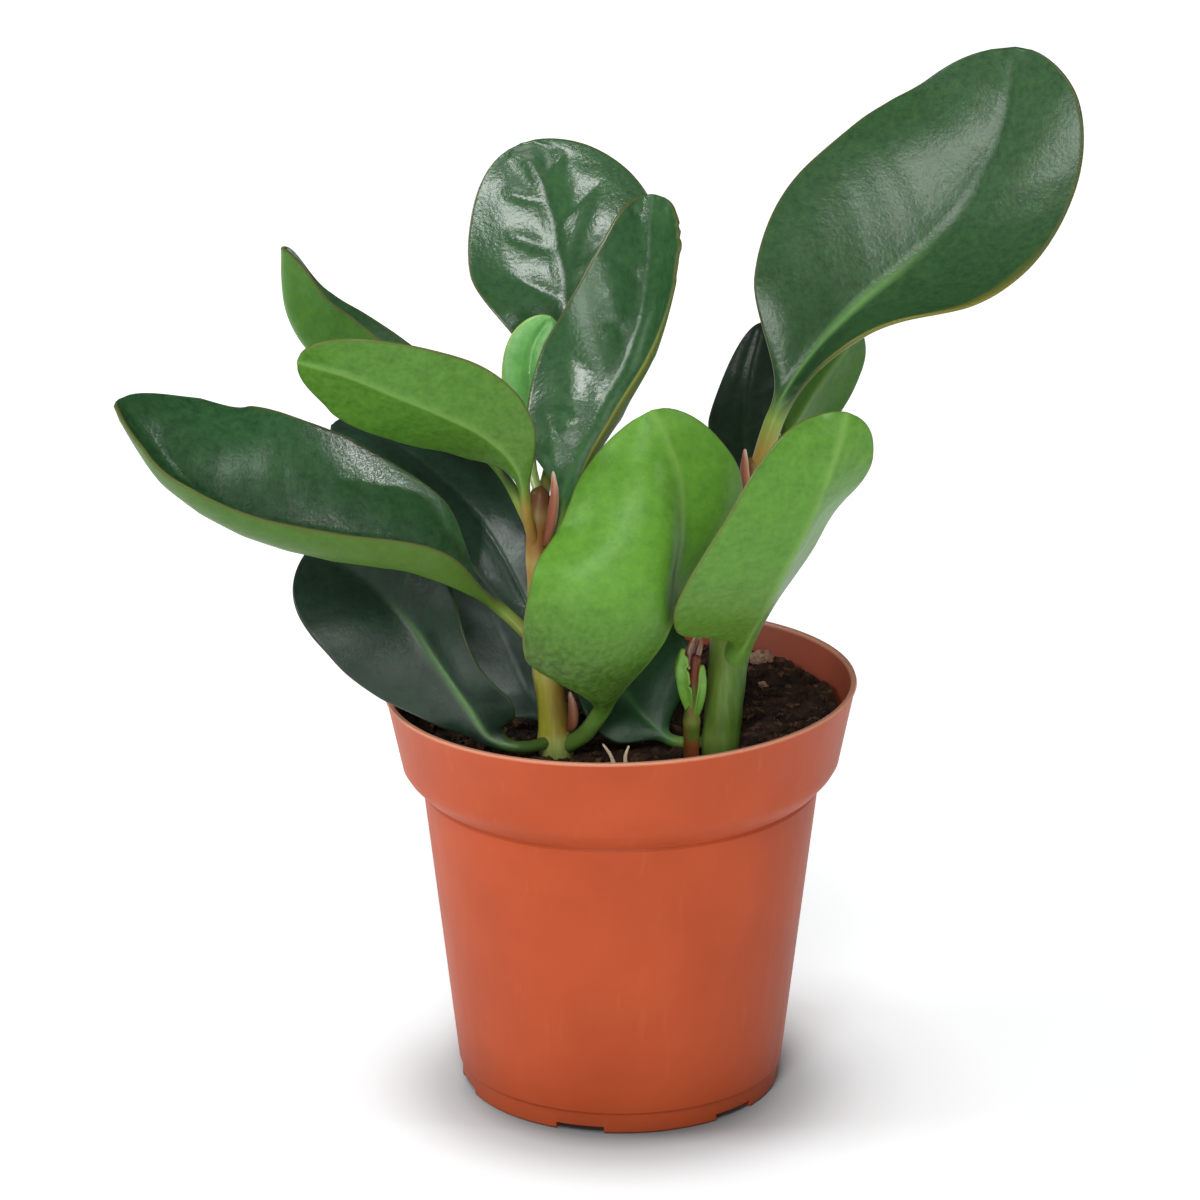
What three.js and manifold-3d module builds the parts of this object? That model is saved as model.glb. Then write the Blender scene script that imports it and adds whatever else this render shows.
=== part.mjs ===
// A potted peperomia: a thin terracotta-coloured nursery pot filled with potting mix, two stems,
// a small side shoot, three buds and fifteen thick leaves. Millimetres, +Z up, seen from -Y.
// The origin is the centre of the pot's underside.
import * as THREE from 'three';
import { mergeVertices } from 'three/addons/utils/BufferGeometryUtils.js';
import Module from 'manifold-3d';

const wasm = await Module();
wasm.setup();

// Pot
const POT_HEIGHT = 98;
const RIM_RADIUS = 55;
const BAND_FOOT_RADIUS = 51.5;
const STEP_RADIUS = 47;
const STEP_HEIGHT = 75;
const FOOT_RADIUS = 37.6;
const FOOT_HEIGHT = 5;
const WALL = 1.4;
const FLOOR_TOP = 3.5;
const CHANNEL_HEIGHT = 2;
const POT_SEGMENTS = 48;
// The rim is a little out of true: its right side stands higher than its left.
const RIM_SKEW = 0.028;
const SKEW_START = 55;
const NOTCHES = 6;
const NOTCH_WIDTH = 11.5;
const NOTCH_HEIGHT = 1.8;
const FIRST_NOTCH_ANGLE = -14.8;
const DRAINS = 6;
const DRAIN_RADIUS = 3;
const DRAIN_CIRCLE = 26.5;
// Grooves under the floor, so that the drains stay open on a flat shelf.
const CHANNEL_INNER = 20;
const CHANNEL_OUTER = 33;
const CHANNEL_SLOPE = 1.5;

// Potting mix
const SOIL_LEVEL = 91.3;
const SOIL_GAP = 0.7;
// Inside the step the wall narrows quickly, and the mix stands off a little more.
const STEP_EXTRA_GAP = 0.4;
const SOIL_BOTTOM = FLOOR_TOP + 0.5;
const HOLE_BOTTOM = 84;
const HOLE_HEIGHT = 16;
// Between a stem and its hole, and between a stem and each leaf or bud that leaves it.
const CLEARANCE = 0.3;
const HOLE_EXTRA = 0.1;
const SOIL_SEGMENTS = 36;
const HOLE_SEGMENTS = 24;
const DRAIN_SEGMENTS = 20;
// A perlite lump is a little wider than deep, and flatter than wide.
const LUMP_SHAPE = [1.1, 0.9, 0.8];

// Leaves
const BLADE_RINGS = 13;
const SMALL_BLADE_RINGS = 9;
const STALK_RINGS = 3;
const COLUMNS = 3;
// The share of the blade over which the round stalk flattens into it.
const OPENING_SHARE = 0.22;
const TIP_HALF_WIDTH = 0.8;
const RIB_HALF_THICKNESS = 0.75;
const MARGIN_HALF_THICKNESS = 0.45;
const MARGIN_LIP = 0.8;
const STEM_SIDES = 12;

const materials = {
  pot: new THREE.MeshStandardMaterial({ color: 0xc5603a, roughness: 0.6, metalness: 0 }),
  soil: new THREE.MeshStandardMaterial({ color: 0x2e1f15, roughness: 1, metalness: 0 }),
  stem: new THREE.MeshStandardMaterial({ color: 0x7f9a3c, roughness: 0.5, metalness: 0 }),
  bud: new THREE.MeshStandardMaterial({ color: 0xc08058, roughness: 0.6, metalness: 0 }),
  leaf: new THREE.MeshStandardMaterial({ color: 0x2f5a37, roughness: 0.3, metalness: 0 }),
  youngLeaf: new THREE.MeshStandardMaterial({ color: 0x5b9a3e, roughness: 0.35, metalness: 0 })
};

function solidFrom(geometry) {
  geometry.deleteAttribute('normal');
  geometry.deleteAttribute('uv');
  const merged = mergeVertices(geometry, 1e-4);
  const index = merged.index.array;
  const kept = [];
  for (let i = 0; i < index.length; i += 3) {
    const [a, b, c] = [index[i], index[i + 1], index[i + 2]];
    if (a !== b && b !== c && c !== a) {
      kept.push(a, b, c);
    }
  }
  return new wasm.Manifold(new wasm.Mesh({
    numProp: 3,
    vertProperties: merged.attributes.position.array,
    triVerts: new Uint32Array(kept)
  }));
}

function geometryFrom(solid) {
  const mesh = solid.getMesh();
  const geometry = new THREE.BufferGeometry();
  geometry.setAttribute('position', new THREE.BufferAttribute(new Float32Array(mesh.vertProperties), 3));
  geometry.setIndex(new THREE.BufferAttribute(new Uint32Array(mesh.triVerts), 1));
  geometry.computeVertexNormals();
  return geometry;
}

// Lathe geometries turn about Y; the plant stands along Z.
function turned(profile, segments) {
  const geometry = new THREE.LatheGeometry(profile.map(([r, z]) => new THREE.Vector2(r, z)), segments);
  geometry.rotateX(Math.PI / 2);
  return geometry;
}

function skewed(geometry) {
  const position = geometry.attributes.position;
  for (let i = 0; i < position.count; i++) {
    const z = position.getZ(i);
    const share = THREE.MathUtils.smoothstep(z, SKEW_START, POT_HEIGHT);
    position.setZ(i, z + RIM_SKEW * position.getX(i) * share);
  }
  return geometry;
}

// A smooth value between evenly spaced stations, t from 0 to 1.
function between(values, t) {
  const last = values.length - 1;
  const place = THREE.MathUtils.clamp(t, 0, 1) * last;
  const i = Math.min(Math.floor(place), last - 1);
  const w = place - i;
  const [b, c] = [values[i], values[i + 1]];
  const a = i > 0 ? values[i - 1] : 2 * b - c;
  const d = i + 2 <= last ? values[i + 2] : 2 * c - b;
  const [u, v] = [(c - a) / 2, (d - b) / 2];
  return (2 * b - 2 * c + u + v) * w ** 3 + (3 * c - 3 * b - 2 * u - v) * w ** 2 + u * w + b;
}

function curveThrough(points) {
  return new THREE.CatmullRomCurve3(points.map((p) => new THREE.Vector3(...p)), false, 'catmullrom', 0.5);
}

// Rings of equally many points become one closed skin: each ring runs clockwise seen from the far end.
// From the point lowerFrom on, quads are split the other way, so that the two faces of a blade match.
function loft(rings, lowerFrom = Infinity) {
  const size = rings[0].length;
  const position = rings.flat().flatMap((p) => [p.x, p.y, p.z]);
  const index = [];
  for (let i = 0; i + 1 < rings.length; i++) {
    for (let k = 0; k < size; k++) {
      const next = (k + 1) % size;
      const [a, b, c, d] = [i * size + k, i * size + next, (i + 1) * size + next, (i + 1) * size + k];
      if (k < lowerFrom) {
        index.push(a, b, c, a, c, d);
      } else {
        index.push(a, b, d, b, c, d);
      }
    }
  }
  const end = (rings.length - 1) * size;
  for (let k = 1; k + 1 < size; k++) {
    index.push(0, k + 1, k, end, end + k, end + k + 1);
  }
  const geometry = new THREE.BufferGeometry();
  geometry.setAttribute('position', new THREE.Float32BufferAttribute(position, 3));
  geometry.setIndex(index);
  return geometry;
}

// A round stem, bud or root along a curve, with a radius at each evenly spaced station.
function tube({ points, radii, steps = 12, sides = STEM_SIDES }, extra = 0) {
  const curve = curveThrough(points);
  const rings = [];
  for (let i = 0; i <= steps; i++) {
    const t = i / steps;
    const centre = curve.getPointAt(t);
    const along = curve.getTangentAt(t);
    const side = new THREE.Vector3(0, -1, 0).cross(along).normalize();
    const front = new THREE.Vector3().crossVectors(side, along);
    const radius = between(radii, t) + extra;
    const overrun = extra * (i === 0 ? -1 : i === steps ? 1 : 0);
    const ring = [];
    for (let k = 0; k < sides; k++) {
      const angle = 2 * Math.PI * k / sides;
      ring.push(centre.clone()
        .addScaledVector(along, overrun)
        .addScaledVector(side, radius * Math.cos(angle))
        .addScaledVector(front, -radius * Math.sin(angle)));
    }
    rings.push(ring);
  }
  return loft(rings);
}

// Share of a half blade's width at v, 0 at its foot and 1 at its tip.
function outline(v, widest, foot, round) {
  if (v < widest) {
    return Math.sin(Math.PI / 2 * v / widest) ** foot;
  }
  return Math.sqrt(1 - ((v - widest) / (1 - widest)) ** round);
}

// A thick leaf round its midrib. Each half leaves the midrib at its fold angle and bends on by its
// curl, both in degrees towards the upper face, which looks the way of face. The blade's cross lines
// stand square to the midrib's run over the share reach to either side, and lobe draws the foot of
// each half back past the stalk.
function leaf(shape) {
  const curve = curveThrough(shape.rib);
  const { stalk, bladeRings = BLADE_RINGS, columns = COLUMNS, lobe = [0, 0] } = shape;
  const stations = [];
  for (let i = 0; i < STALK_RINGS; i++) {
    stations.push(stalk * i / STALK_RINGS);
  }
  for (let i = 0; i <= bladeRings; i++) {
    stations.push(stalk + (1 - stalk) * (1 - Math.cos(Math.PI * i / bladeRings)) / 2);
  }
  const rings = stations.map((station) => {
    const v = Math.max((station - stalk) / (1 - stalk), 0);
    const centre = curve.getPointAt(station);
    const reach = shape.reach ?? 0.001;
    const along = curve.getPointAt(Math.min(station + reach, 1))
      .sub(curve.getPointAt(Math.max(station - reach, 0)))
      .normalize();
    const up = new THREE.Vector3(...[0, 1, 2].map((c) => between(shape.face.map((f) => f[c]), v)));
    up.addScaledVector(along, -up.dot(along)).normalize();
    const side = new THREE.Vector3().crossVectors(along, up);
    const opening = THREE.MathUtils.smoothstep(v, 0, OPENING_SHARE);
    const thickness = shape.thickness ?? 1;
    const at = (x, z) => centre.clone()
      .addScaledVector(side, x)
      .addScaledVector(up, z)
      .addScaledVector(along, -lobe[x < 0 ? 0 : 1] * Math.abs(x) * opening * (1 - v) ** 2);

    // One half's upper, margin and lower points, from the midrib out.
    const half = (which, sign) => {
      const width = Math.max(shape.width[which] * outline(v, shape.widest[which], shape.foot[which],
        shape.round[which]), TIP_HALF_WIDTH, shape.radius * (1 - v / OPENING_SHARE));
      const fold = THREE.MathUtils.degToRad(between(shape.fold.map((f) => f[which]), v));
      const curl = THREE.MathUtils.degToRad(between(shape.curl.map((f) => f[which]), v));
      const upper = [];
      const lower = [];
      let [x, z] = [0, 0];
      for (let j = 0; j <= columns; j++) {
        const s = j / columns;
        if (j > 0) {
          const angle = fold + curl * (s - 0.5 / columns);
          x += width / columns * Math.cos(angle);
          z += width / columns * Math.sin(angle);
        }
        const lean = j === 0 ? 0 : fold + curl * s;
        const thick = thickness * THREE.MathUtils.lerp(RIB_HALF_THICKNESS, MARGIN_HALF_THICKNESS, s);
        const turn = Math.PI / 2 * j / (columns + 1);
        const [stalkX, stalkZ] = [shape.radius * Math.sin(turn), shape.radius * Math.cos(turn)];
        for (const [list, face] of [[upper, 1], [lower, -1]]) {
          list.push(at(
            sign * THREE.MathUtils.lerp(stalkX, x - face * thick * Math.sin(lean), opening),
            THREE.MathUtils.lerp(face * stalkZ, z + face * thick * Math.cos(lean), opening)
          ));
        }
      }
      const lip = thickness * MARGIN_HALF_THICKNESS * MARGIN_LIP;
      const margin = at(
        sign * THREE.MathUtils.lerp(shape.radius, x + lip * Math.cos(fold + curl), opening),
        THREE.MathUtils.lerp(0, z + lip * Math.sin(fold + curl), opening)
      );
      return { upper, lower, margin };
    };
    const [left, right] = [half(0, -1), half(1, 1)];
    return [
      ...left.upper.slice(1).reverse(), ...right.upper, right.margin,
      ...right.lower.slice(1).reverse(), ...left.lower, left.margin
    ];
  });
  return loft(rings, 2 * columns + 2);
}

const group = new THREE.Group();

function place(name, solid, material) {
  const mesh = new THREE.Mesh(geometryFrom(solid), material);
  mesh.name = name;
  group.add(mesh);
  return mesh;
}

// Pot: foot ring, tapered wall, step and rim band outside, the same run inside one wall further in.
const outside = [
  [0, 0], [CHANNEL_INNER, 0], [CHANNEL_INNER + CHANNEL_SLOPE, CHANNEL_HEIGHT],
  [CHANNEL_OUTER - CHANNEL_SLOPE, CHANNEL_HEIGHT], [CHANNEL_OUTER, 0], [FOOT_RADIUS - 0.6, 0],
  [FOOT_RADIUS, 0.6], [FOOT_RADIUS, FOOT_HEIGHT], [FOOT_RADIUS + 0.8, FOOT_HEIGHT + 0.6],
  [STEP_RADIUS - 0.6, STEP_HEIGHT - 0.4], [STEP_RADIUS + 0.1, STEP_HEIGHT - 0.2],
  [STEP_RADIUS + 0.3, STEP_HEIGHT + 0.2], [STEP_RADIUS + 3, STEP_HEIGHT + 3],
  [STEP_RADIUS + 4.1, STEP_HEIGHT + 4.8], [BAND_FOOT_RADIUS, STEP_HEIGHT + 6.8],
  [RIM_RADIUS - 0.4, POT_HEIGHT - 1.2], [RIM_RADIUS, POT_HEIGHT - 0.6], [RIM_RADIUS - 0.2, POT_HEIGHT]
];
const inside = [
  [RIM_RADIUS - 1.1, POT_HEIGHT], [RIM_RADIUS - 1.5, POT_HEIGHT - 0.6],
  [BAND_FOOT_RADIUS - WALL, STEP_HEIGHT + 7], [STEP_RADIUS + 2.4, STEP_HEIGHT + 4.6],
  [STEP_RADIUS - WALL + 0.3, STEP_HEIGHT + 1.4], [STEP_RADIUS - WALL - 0.4, STEP_HEIGHT],
  [FOOT_RADIUS + 0.8 - WALL, FOOT_HEIGHT + 1.2], [FOOT_RADIUS - WALL, FLOOR_TOP], [0, FLOOR_TOP]
];
let pot = solidFrom(skewed(turned([...outside, ...inside], POT_SEGMENTS)));
for (let i = 0; i < NOTCHES; i++) {
  const notch = new THREE.BoxGeometry(NOTCH_WIDTH, 2 * (FOOT_RADIUS - CHANNEL_OUTER), 2 * NOTCH_HEIGHT);
  notch.translate(0, -FOOT_RADIUS, 0);
  notch.rotateZ(THREE.MathUtils.degToRad(FIRST_NOTCH_ANGLE + 360 / NOTCHES * i));
  pot = pot.subtract(solidFrom(notch));
}
for (let i = 0; i < DRAINS; i++) {
  const drain = new THREE.CylinderGeometry(DRAIN_RADIUS, DRAIN_RADIUS, 4 * FLOOR_TOP, DRAIN_SEGMENTS);
  drain.rotateX(Math.PI / 2);
  drain.translate(0, -DRAIN_CIRCLE, 0);
  drain.rotateZ(THREE.MathUtils.degToRad(360 / DRAINS * i));
  pot = pot.subtract(solidFrom(drain));
}
place('pot', pot, materials.pot);

// Stems: each stands in a plain hole in the potting mix and swells where leaves leave it.
const stems = {
  left: {
    points: [
      [-14.9, -27.5, 84.3], [-14.9, -27.5, 91.8], [-15.6, -27, 100.5], [-16.8, -26.4, 110],
      [-18.3, -25.5, 127], [-19, -24, 143], [-18.2, -22.5, 153]
    ],
    radii: [3.7, 4, 3.4, 3.3, 3.1, 2.9, 2.7, 2.6, 2.2]
  },
  right: {
    points: [
      [22.5, -29, 84.3], [22.5, -29, 92], [24, -27, 108], [25.5, -24, 120],
      [28, -17, 138.5], [31.3, -8.5, 156]
    ],
    radii: [4.1, 4.3, 4.4, 4.8, 4, 3.6, 2.4]
  }
};
const shoot = {
  points: [[15.9, -34, 84.3], [15.9, -34, 93], [16, -34, 104], [16.8, -33.5, 117]],
  radii: [1.7, 1.8, 1.8, 1.6, 1.2]
};
const roots = [
  { points: [[-1.5, -36, 90], [-2.5, -35.5, 93], [-4.3, -35, 95.6]], radii: [0.7, 0.6, 0.4] },
  { points: [[1, -36.5, 90], [0.9, -36, 93], [1.8, -35, 95.2]], radii: [0.7, 0.6, 0.4] }
];
const perlite = [
  { place: [33.8, 31, 93.2], radius: 2.5 },
  { place: [33.5, 15, 92], radius: 1.3 },
  { place: [28, 38, 91.8], radius: 1.2 }
];

// Potting mix: fills the pot to just below the rim band's top, with an uneven surface.
function soilSurface(x, y) {
  return SOIL_LEVEL + 0.35 * Math.sin(0.31 * x + 1.2) * Math.cos(0.27 * y)
    + 0.25 * Math.sin(0.53 * x - 0.41 * y);
}
function insideRadius(z) {
  for (let i = 1; i < inside.length; i++) {
    const [[r0, z0], [r1, z1]] = [inside[i], inside[i - 1]];
    if (z >= z0 && z <= z1) {
      return THREE.MathUtils.mapLinear(z, z0, z1, r0, r1);
    }
  }
  return 0;
}
const soilSide = [
  [SOIL_BOTTOM, 0], [FOOT_HEIGHT + 1.2, 0], [STEP_HEIGHT - 1, STEP_EXTRA_GAP],
  [STEP_HEIGHT + 2.6, STEP_EXTRA_GAP], [STEP_HEIGHT + 6, 0], [SOIL_LEVEL - 1.5, 0]
].map(([z, extra]) => [insideRadius(z) - SOIL_GAP - extra, z]);
const soilTop = [49, 41, 32, 22, 11, 0].map((r) => [r, SOIL_LEVEL]);
const soilGeometry = turned([[0, SOIL_BOTTOM], ...soilSide, ...soilTop], SOIL_SEGMENTS);
const soilPoints = soilGeometry.attributes.position;
for (let i = 0; i < soilPoints.count; i++) {
  if (soilPoints.getZ(i) === SOIL_LEVEL) {
    soilPoints.setZ(i, soilSurface(soilPoints.getX(i), soilPoints.getY(i)));
  }
}
let soil = solidFrom(skewed(soilGeometry));
for (const root of roots) {
  soil = soil.add(solidFrom(tube({ ...root, steps: 4, sides: 6 })));
}
for (const lump of perlite) {
  const stone = new THREE.IcosahedronGeometry(lump.radius, 0);
  stone.scale(...LUMP_SHAPE);
  stone.translate(...lump.place);
  soil = soil.add(solidFrom(stone));
}
for (const { points: [[x, y]], radii } of [stems.left, stems.right, shoot]) {
  const radius = Math.max(radii[0], radii[1]) + CLEARANCE + HOLE_EXTRA;
  const hole = new THREE.CylinderGeometry(radius, radius, HOLE_HEIGHT, HOLE_SEGMENTS);
  hole.rotateX(Math.PI / 2);
  hole.translate(x, y, HOLE_BOTTOM + HOLE_HEIGHT / 2);
  soil = soil.subtract(solidFrom(hole));
}
place('soil', soil, materials.soil);

place('stem_left', solidFrom(tube(stems.left)), materials.stem);
place('stem_right', solidFrom(tube(stems.right)), materials.stem);
const sockets = {
  left: solidFrom(tube(stems.left, CLEARANCE)),
  right: solidFrom(tube(stems.right, CLEARANCE))
};

// Buds: small closed sheaths against the stems.
const buds = {
  bud_left_top: {
    on: 'left',
    points: [
      [-18.5, -25.2, 140], [-16.2, -26.6, 145.5], [-15, -26.8, 150], [-15, -26.6, 153.5], [-15.8, -26, 157.6]
    ]
  },
  bud_left_base: {
    on: 'left',
    points: [[-13.6, -28.6, 97], [-12, -31, 99.5], [-11, -31.6, 103], [-11, -31.2, 106.8]]
  },
  bud_right: {
    on: 'right',
    points: [[29.6, -14, 147], [28.2, -16.3, 150.5], [28, -16, 154.5], [28, -15, 159.5]]
  }
};
for (const [name, bud] of Object.entries(buds)) {
  const solid = solidFrom(tube({ points: bud.points, radii: [1, 1.25, 1.2, 0.9, 0.35], steps: 7, sides: 8 }));
  place(name, solid.subtract(sockets[bud.on]), materials.bud);
}

// Leaves, from the measured picture: rib is the midrib from the stem to the tip.
const leaves = {
  leaf_right_big: {
    on: 'right', stalk: 0.1, radius: 2.2, width: [33.5, 29.5],
    rib: [
      [31.3, -10.3, 153], [35.5, -9, 166], [43.5, -4, 178.5], [54, 3, 188], [66.5, 9, 197],
      [78, 14, 207.5], [86, 18.5, 220.3], [89.8, 23, 232.6], [90.3, 26, 243.2]
    ],
    face: [[-0.35, -0.85, 0.4], [-0.35, -0.85, 0.35], [-0.25, -0.95, 0.25]],
    fold: [[40, 60], [10, 24], [4, 4], [-8, 2]], curl: [[0, 20], [0, 45], [0, 40], [0, 10]],
    widest: [0.47, 0.51], foot: [1.1, 0.9], round: [2.8, 1.6], reach: 0.08
  },
  leaf_right_front: {
    on: 'right', stalk: 0.06, radius: 2.8, width: [17.5, 22.5], lobe: [0.2, 0.3],
    rib: [
      [25.3, -27.5, 115.5], [31.5, -43, 130.5], [36.5, -51, 144], [41.5, -55, 156.5],
      [45.5, -56, 168], [48, -55, 175.5], [49, -54, 179.5]
    ],
    face: [[0.1, 0.6, 0.8], [0.1, 0.8, 0.5], [0.1, 0.9, 0.3]],
    fold: [[57, -26], [57, -24], [55, -24], [17, -5]], curl: [[10, 10], [10, 10], [10, 10], [10, 10]],
    widest: [0.5, 0.35], foot: [0.9, 0.85], round: [2.1, 1.9]
  },
  leaf_right_back: {
    on: 'right', stalk: 0.2, radius: 1.6, width: [13.5, 12], bladeRings: SMALL_BLADE_RINGS,
    rib: [[32.3, -7.5, 151], [40.5, 2, 162.5], [46, 10, 168.5], [51, 15, 174], [54.5, 18, 180]],
    face: [[-0.5, 0.8, 0.4], [-0.5, 0.8, 0.3]],
    fold: [[20, 20], [0, 20], [0, 20], [15, 0]], curl: [[0, 0], [0, 0]],
    widest: [0.53, 0.55], foot: [0.9, 0.9], round: [2.2, 2.4]
  },
  leaf_right_dark: {
    on: 'right', stalk: 0.12, radius: 1.6, width: [8.5, 14], bladeRings: SMALL_BLADE_RINGS,
    rib: [[29.8, -11, 146.5], [29.3, -3, 150.5], [28.5, 7, 156], [29.5, 17, 165.5], [33, 25, 178]],
    face: [[0, -0.5, 0.8], [0, -0.6, 0.8]],
    fold: [[10, 10], [0, 10], [-25, 10], [-20, 10]], curl: [[0, 0], [0, 0]],
    widest: [0.45, 0.55], foot: [0.9, 0.9], round: [1.3, 2.4]
  },
  leaf_centre_front: {
    on: 'left', stalk: 0.16, radius: 2, width: [21, 35.9], lobe: [0, 0.1],
    reach: 0.25,
    rib: [
      [-12.6, -28.8, 92.9], [-8.2, -32.4, 97.2], [-4.4, -36.5, 104], [0.5, -40, 111.5],
      [6.5, -43, 120], [12, -44, 130], [15.5, -44, 142.5], [16, -43, 151.5], [14.5, -41, 159.5],
      [11, -38, 166], [6.5, -34, 174]
    ],
    face: [[0, 0.6, 0.8], [-0.1, 0.85, 0.5], [-0.1, 0.9, 0.3], [-0.1, 0.9, 0]],
    fold: [[75, -25], [68, -39], [47, -37], [15, -11]], curl: [[10, 45], [10, 80], [10, 80], [10, 40]],
    widest: [0.45, 0.44], foot: [0.9, 0.3], round: [1.8, 1.6]
  },
  leaf_centre_young: {
    on: 'left', stalk: 0.3, radius: 1.1, width: [6.5, 7.5], thickness: 0.8, bladeRings: SMALL_BLADE_RINGS,
    rib: [
      [-18.4, -22.3, 150], [-20.2, -15.5, 155], [-20.8, -9, 162.5], [-21, -7, 170.5],
      [-20.5, -5, 180], [-16, -4, 187.5]
    ],
    face: [[0.2, -0.9, 0.3], [0.2, -0.95, 0.3]],
    fold: [[15, 15], [10, 15], [10, 10], [5, 0]], curl: [[0, 0], [0, 0]],
    widest: [0.51, 0.55], foot: [0.9, 0.9], round: [2.1, 2.4]
  },
  leaf_top_round: {
    on: 'left', stalk: 0.32, radius: 1.4, width: [21.9, 24], reach: 0.3,
    rib: [
      [-18.9, -22.8, 145], [-17.3, -16.5, 151], [-14.5, -8, 161], [-12, 2, 175.7], [-12, 9, 187.3],
      [-13.5, 14.5, 197.7], [-16, 20, 208], [-19.5, 24, 215.5], [-23, 26, 220.5]
    ],
    face: [[0.1, -0.9, 0.4], [0, -0.85, 0.5], [0, -0.85, 0.5]],
    fold: [[15, 15], [16, 12], [5, 12], [0, 12]], curl: [[-10, -10], [-10, -10]],
    widest: [0.55, 0.52], foot: [1.15, 0.9], round: [2, 1.8]
  },
  leaf_top_tall: {
    on: 'left', stalk: 0.2, radius: 2.1, width: [19.5, 16.6], lobe: [0.4, 0],
    rib: [
      [-18.2, -25, 128], [-15.3, -24, 138.5], [-12.9, -22, 149.5], [-9.5, -20, 159.5],
      [-4, -16.5, 169], [1.9, -11.5, 179.3], [5, -7, 189.3], [6.3, -3, 199.7], [6.6, 0, 208.5],
      [7.3, 1.5, 214.6]
    ],
    face: [[-0.4, -0.85, 0.3], [-0.4, -0.9, 0.4], [-0.3, -0.9, 0.4]],
    fold: [[21, 31], [12, 15], [36, 23], [65, 34]], curl: [[-5, 70], [-5, 90], [-5, 60], [0, 0]],
    widest: [0.48, 0.5], foot: [0.86, 0.87], round: [1.4, 2.1]
  },
  leaf_left_upper: {
    on: 'left', stalk: 0.2, radius: 1.3, width: [15, 16.5],
    rib: [
      [-19.3, -24.6, 138.5], [-21.3, -28.4, 148], [-22.9, -31, 159.5], [-30.5, -34, 168.5],
      [-40.5, -38, 175], [-50, -41, 180], [-61, -42, 185], [-71.5, -41, 187.5]
    ],
    face: [[0.3, 0.6, 0.8], [0.15, 0.75, 0.65], [0, 0.85, 0.5]],
    fold: [[21, 7], [29, -7], [10, -7], [-14, -9]], curl: [[10, 10], [10, 10]],
    widest: [0.51, 0.54], foot: [0.85, 0.5], round: [2.1, 2.4]
  },
  leaf_left_top: {
    on: 'left', stalk: 0.12, radius: 1.3, width: [15, 17],
    rib: [
      [-19, -23.6, 140], [-27, -12, 152.5], [-39, -4, 161], [-55.5, 2, 166.5], [-68.5, 6, 174.5],
      [-75.5, 8, 185], [-77, 8, 200.5]
    ],
    face: [[0.3, 0.3, 0.9], [0.4, 0.2, 0.9], [0.9, 0.2, 0.4]],
    fold: [[70, 60], [63, 59], [70, 70], [35, 30]], curl: [[0, 0], [0, 0]],
    widest: [0.59, 0.59], foot: [0.9, 0.9], round: [2.5, 2.5]
  },
  leaf_left_long: {
    on: 'left', stalk: 0.12, radius: 1.5, width: [24, 26],
    rib: [
      [-17.6, -25.2, 114.5], [-26.5, -26, 124], [-34, -29, 130.5], [-47.5, -31, 137.5], [-65.5, -33, 142.5],
      [-82, -34, 148], [-96.5, -33, 156.5], [-105.5, -31, 166], [-112.5, -29, 175]
    ],
    face: [[-0.2, -0.1, 0.95], [0, -0.1, 0.95], [0.3, -0.1, 0.95]],
    fold: [[35, 39], [-14, 52], [-17, 52], [5, 11]], curl: [[50, 0], [100, 0], [90, 0], [30, 0]],
    widest: [0.53, 0.54], foot: [0.75, 0.75], round: [2.4, 2.6]
  },
  leaf_left_shaded: {
    on: 'left', stalk: 0.08, radius: 1.5, width: [11, 13], bladeRings: SMALL_BLADE_RINGS,
    rib: [
      [-16.9, -25.4, 109.5], [-19.5, -15.5, 117], [-26.5, -9, 131], [-34.5, -4, 141], [-46.5, 2, 150.5],
      [-57, 6, 156], [-67, 9, 157.5]
    ],
    face: [[0.2, -0.6, 0.8], [0, -0.6, 0.8]],
    fold: [[15, 15], [15, 20], [10, -15], [0, -20]], curl: [[0, 0], [0, 0]],
    widest: [0.55, 0.51], foot: [0.9, 0.9], round: [2.4, 2]
  },
  leaf_low_left: {
    on: 'left', stalk: 0.14, radius: 1.4, width: [19.5, 14], lobe: [0.1, 0.6],
    rib: [
      [-15.4, -28.3, 94.2], [-22, -33.5, 94.2], [-29.5, -33, 96], [-34.5, -31, 103], [-42, -28, 113.5],
      [-49, -23, 121.5], [-58.5, -17, 128.5], [-71.5, -11, 134.5]
    ],
    face: [[-0.1, -0.8, 0.6], [-0.3, -0.8, 0.5]],
    fold: [[-27, -8], [-14, 62], [18, 12], [25, 0]], curl: [[5, 0], [5, 0]],
    widest: [0.66, 0.52], foot: [1.2, 0.35], round: [3, 2.4]
  },
  leaf_low_inner: {
    on: 'left', stalk: 0.1, radius: 1.4, width: [16, 13], bladeRings: SMALL_BLADE_RINGS,
    rib: [
      [-15.4, -25.8, 94.8], [-18, -19, 97], [-21.5, -12, 100.5], [-25.5, -7, 108.5],
      [-30, -1, 117.5], [-34, 4, 127]
    ],
    face: [[-0.1, -0.9, 0.5], [-0.1, -0.9, 0.4]],
    fold: [[10, 10], [10, 10]], curl: [[0, 0], [0, 0]],
    widest: [0.53, 0.55], foot: [0.9, 0.9], round: [2.3, 2.4]
  },
  leaf_low_centre: {
    on: 'right', stalk: 0.24, radius: 1.4, width: [11, 18], bladeRings: SMALL_BLADE_RINGS,
    rib: [
      [20.6, -28.4, 93.6], [15.5, -29, 93.6], [10.8, -29, 94.6], [5.4, -27, 99], [0.6, -23, 104.5],
      [-4, -18, 112.5], [-7, -14, 119]
    ],
    face: [[0, -0.8, 0.6], [0, -0.9, 0.4]],
    fold: [[2, -5], [6, 12], [18, 11], [0, 0]], curl: [[0, 0], [0, 0]],
    widest: [0.4, 0.53], foot: [0.7, 0.4], round: [2.3, 2.4]
  }
};
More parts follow.
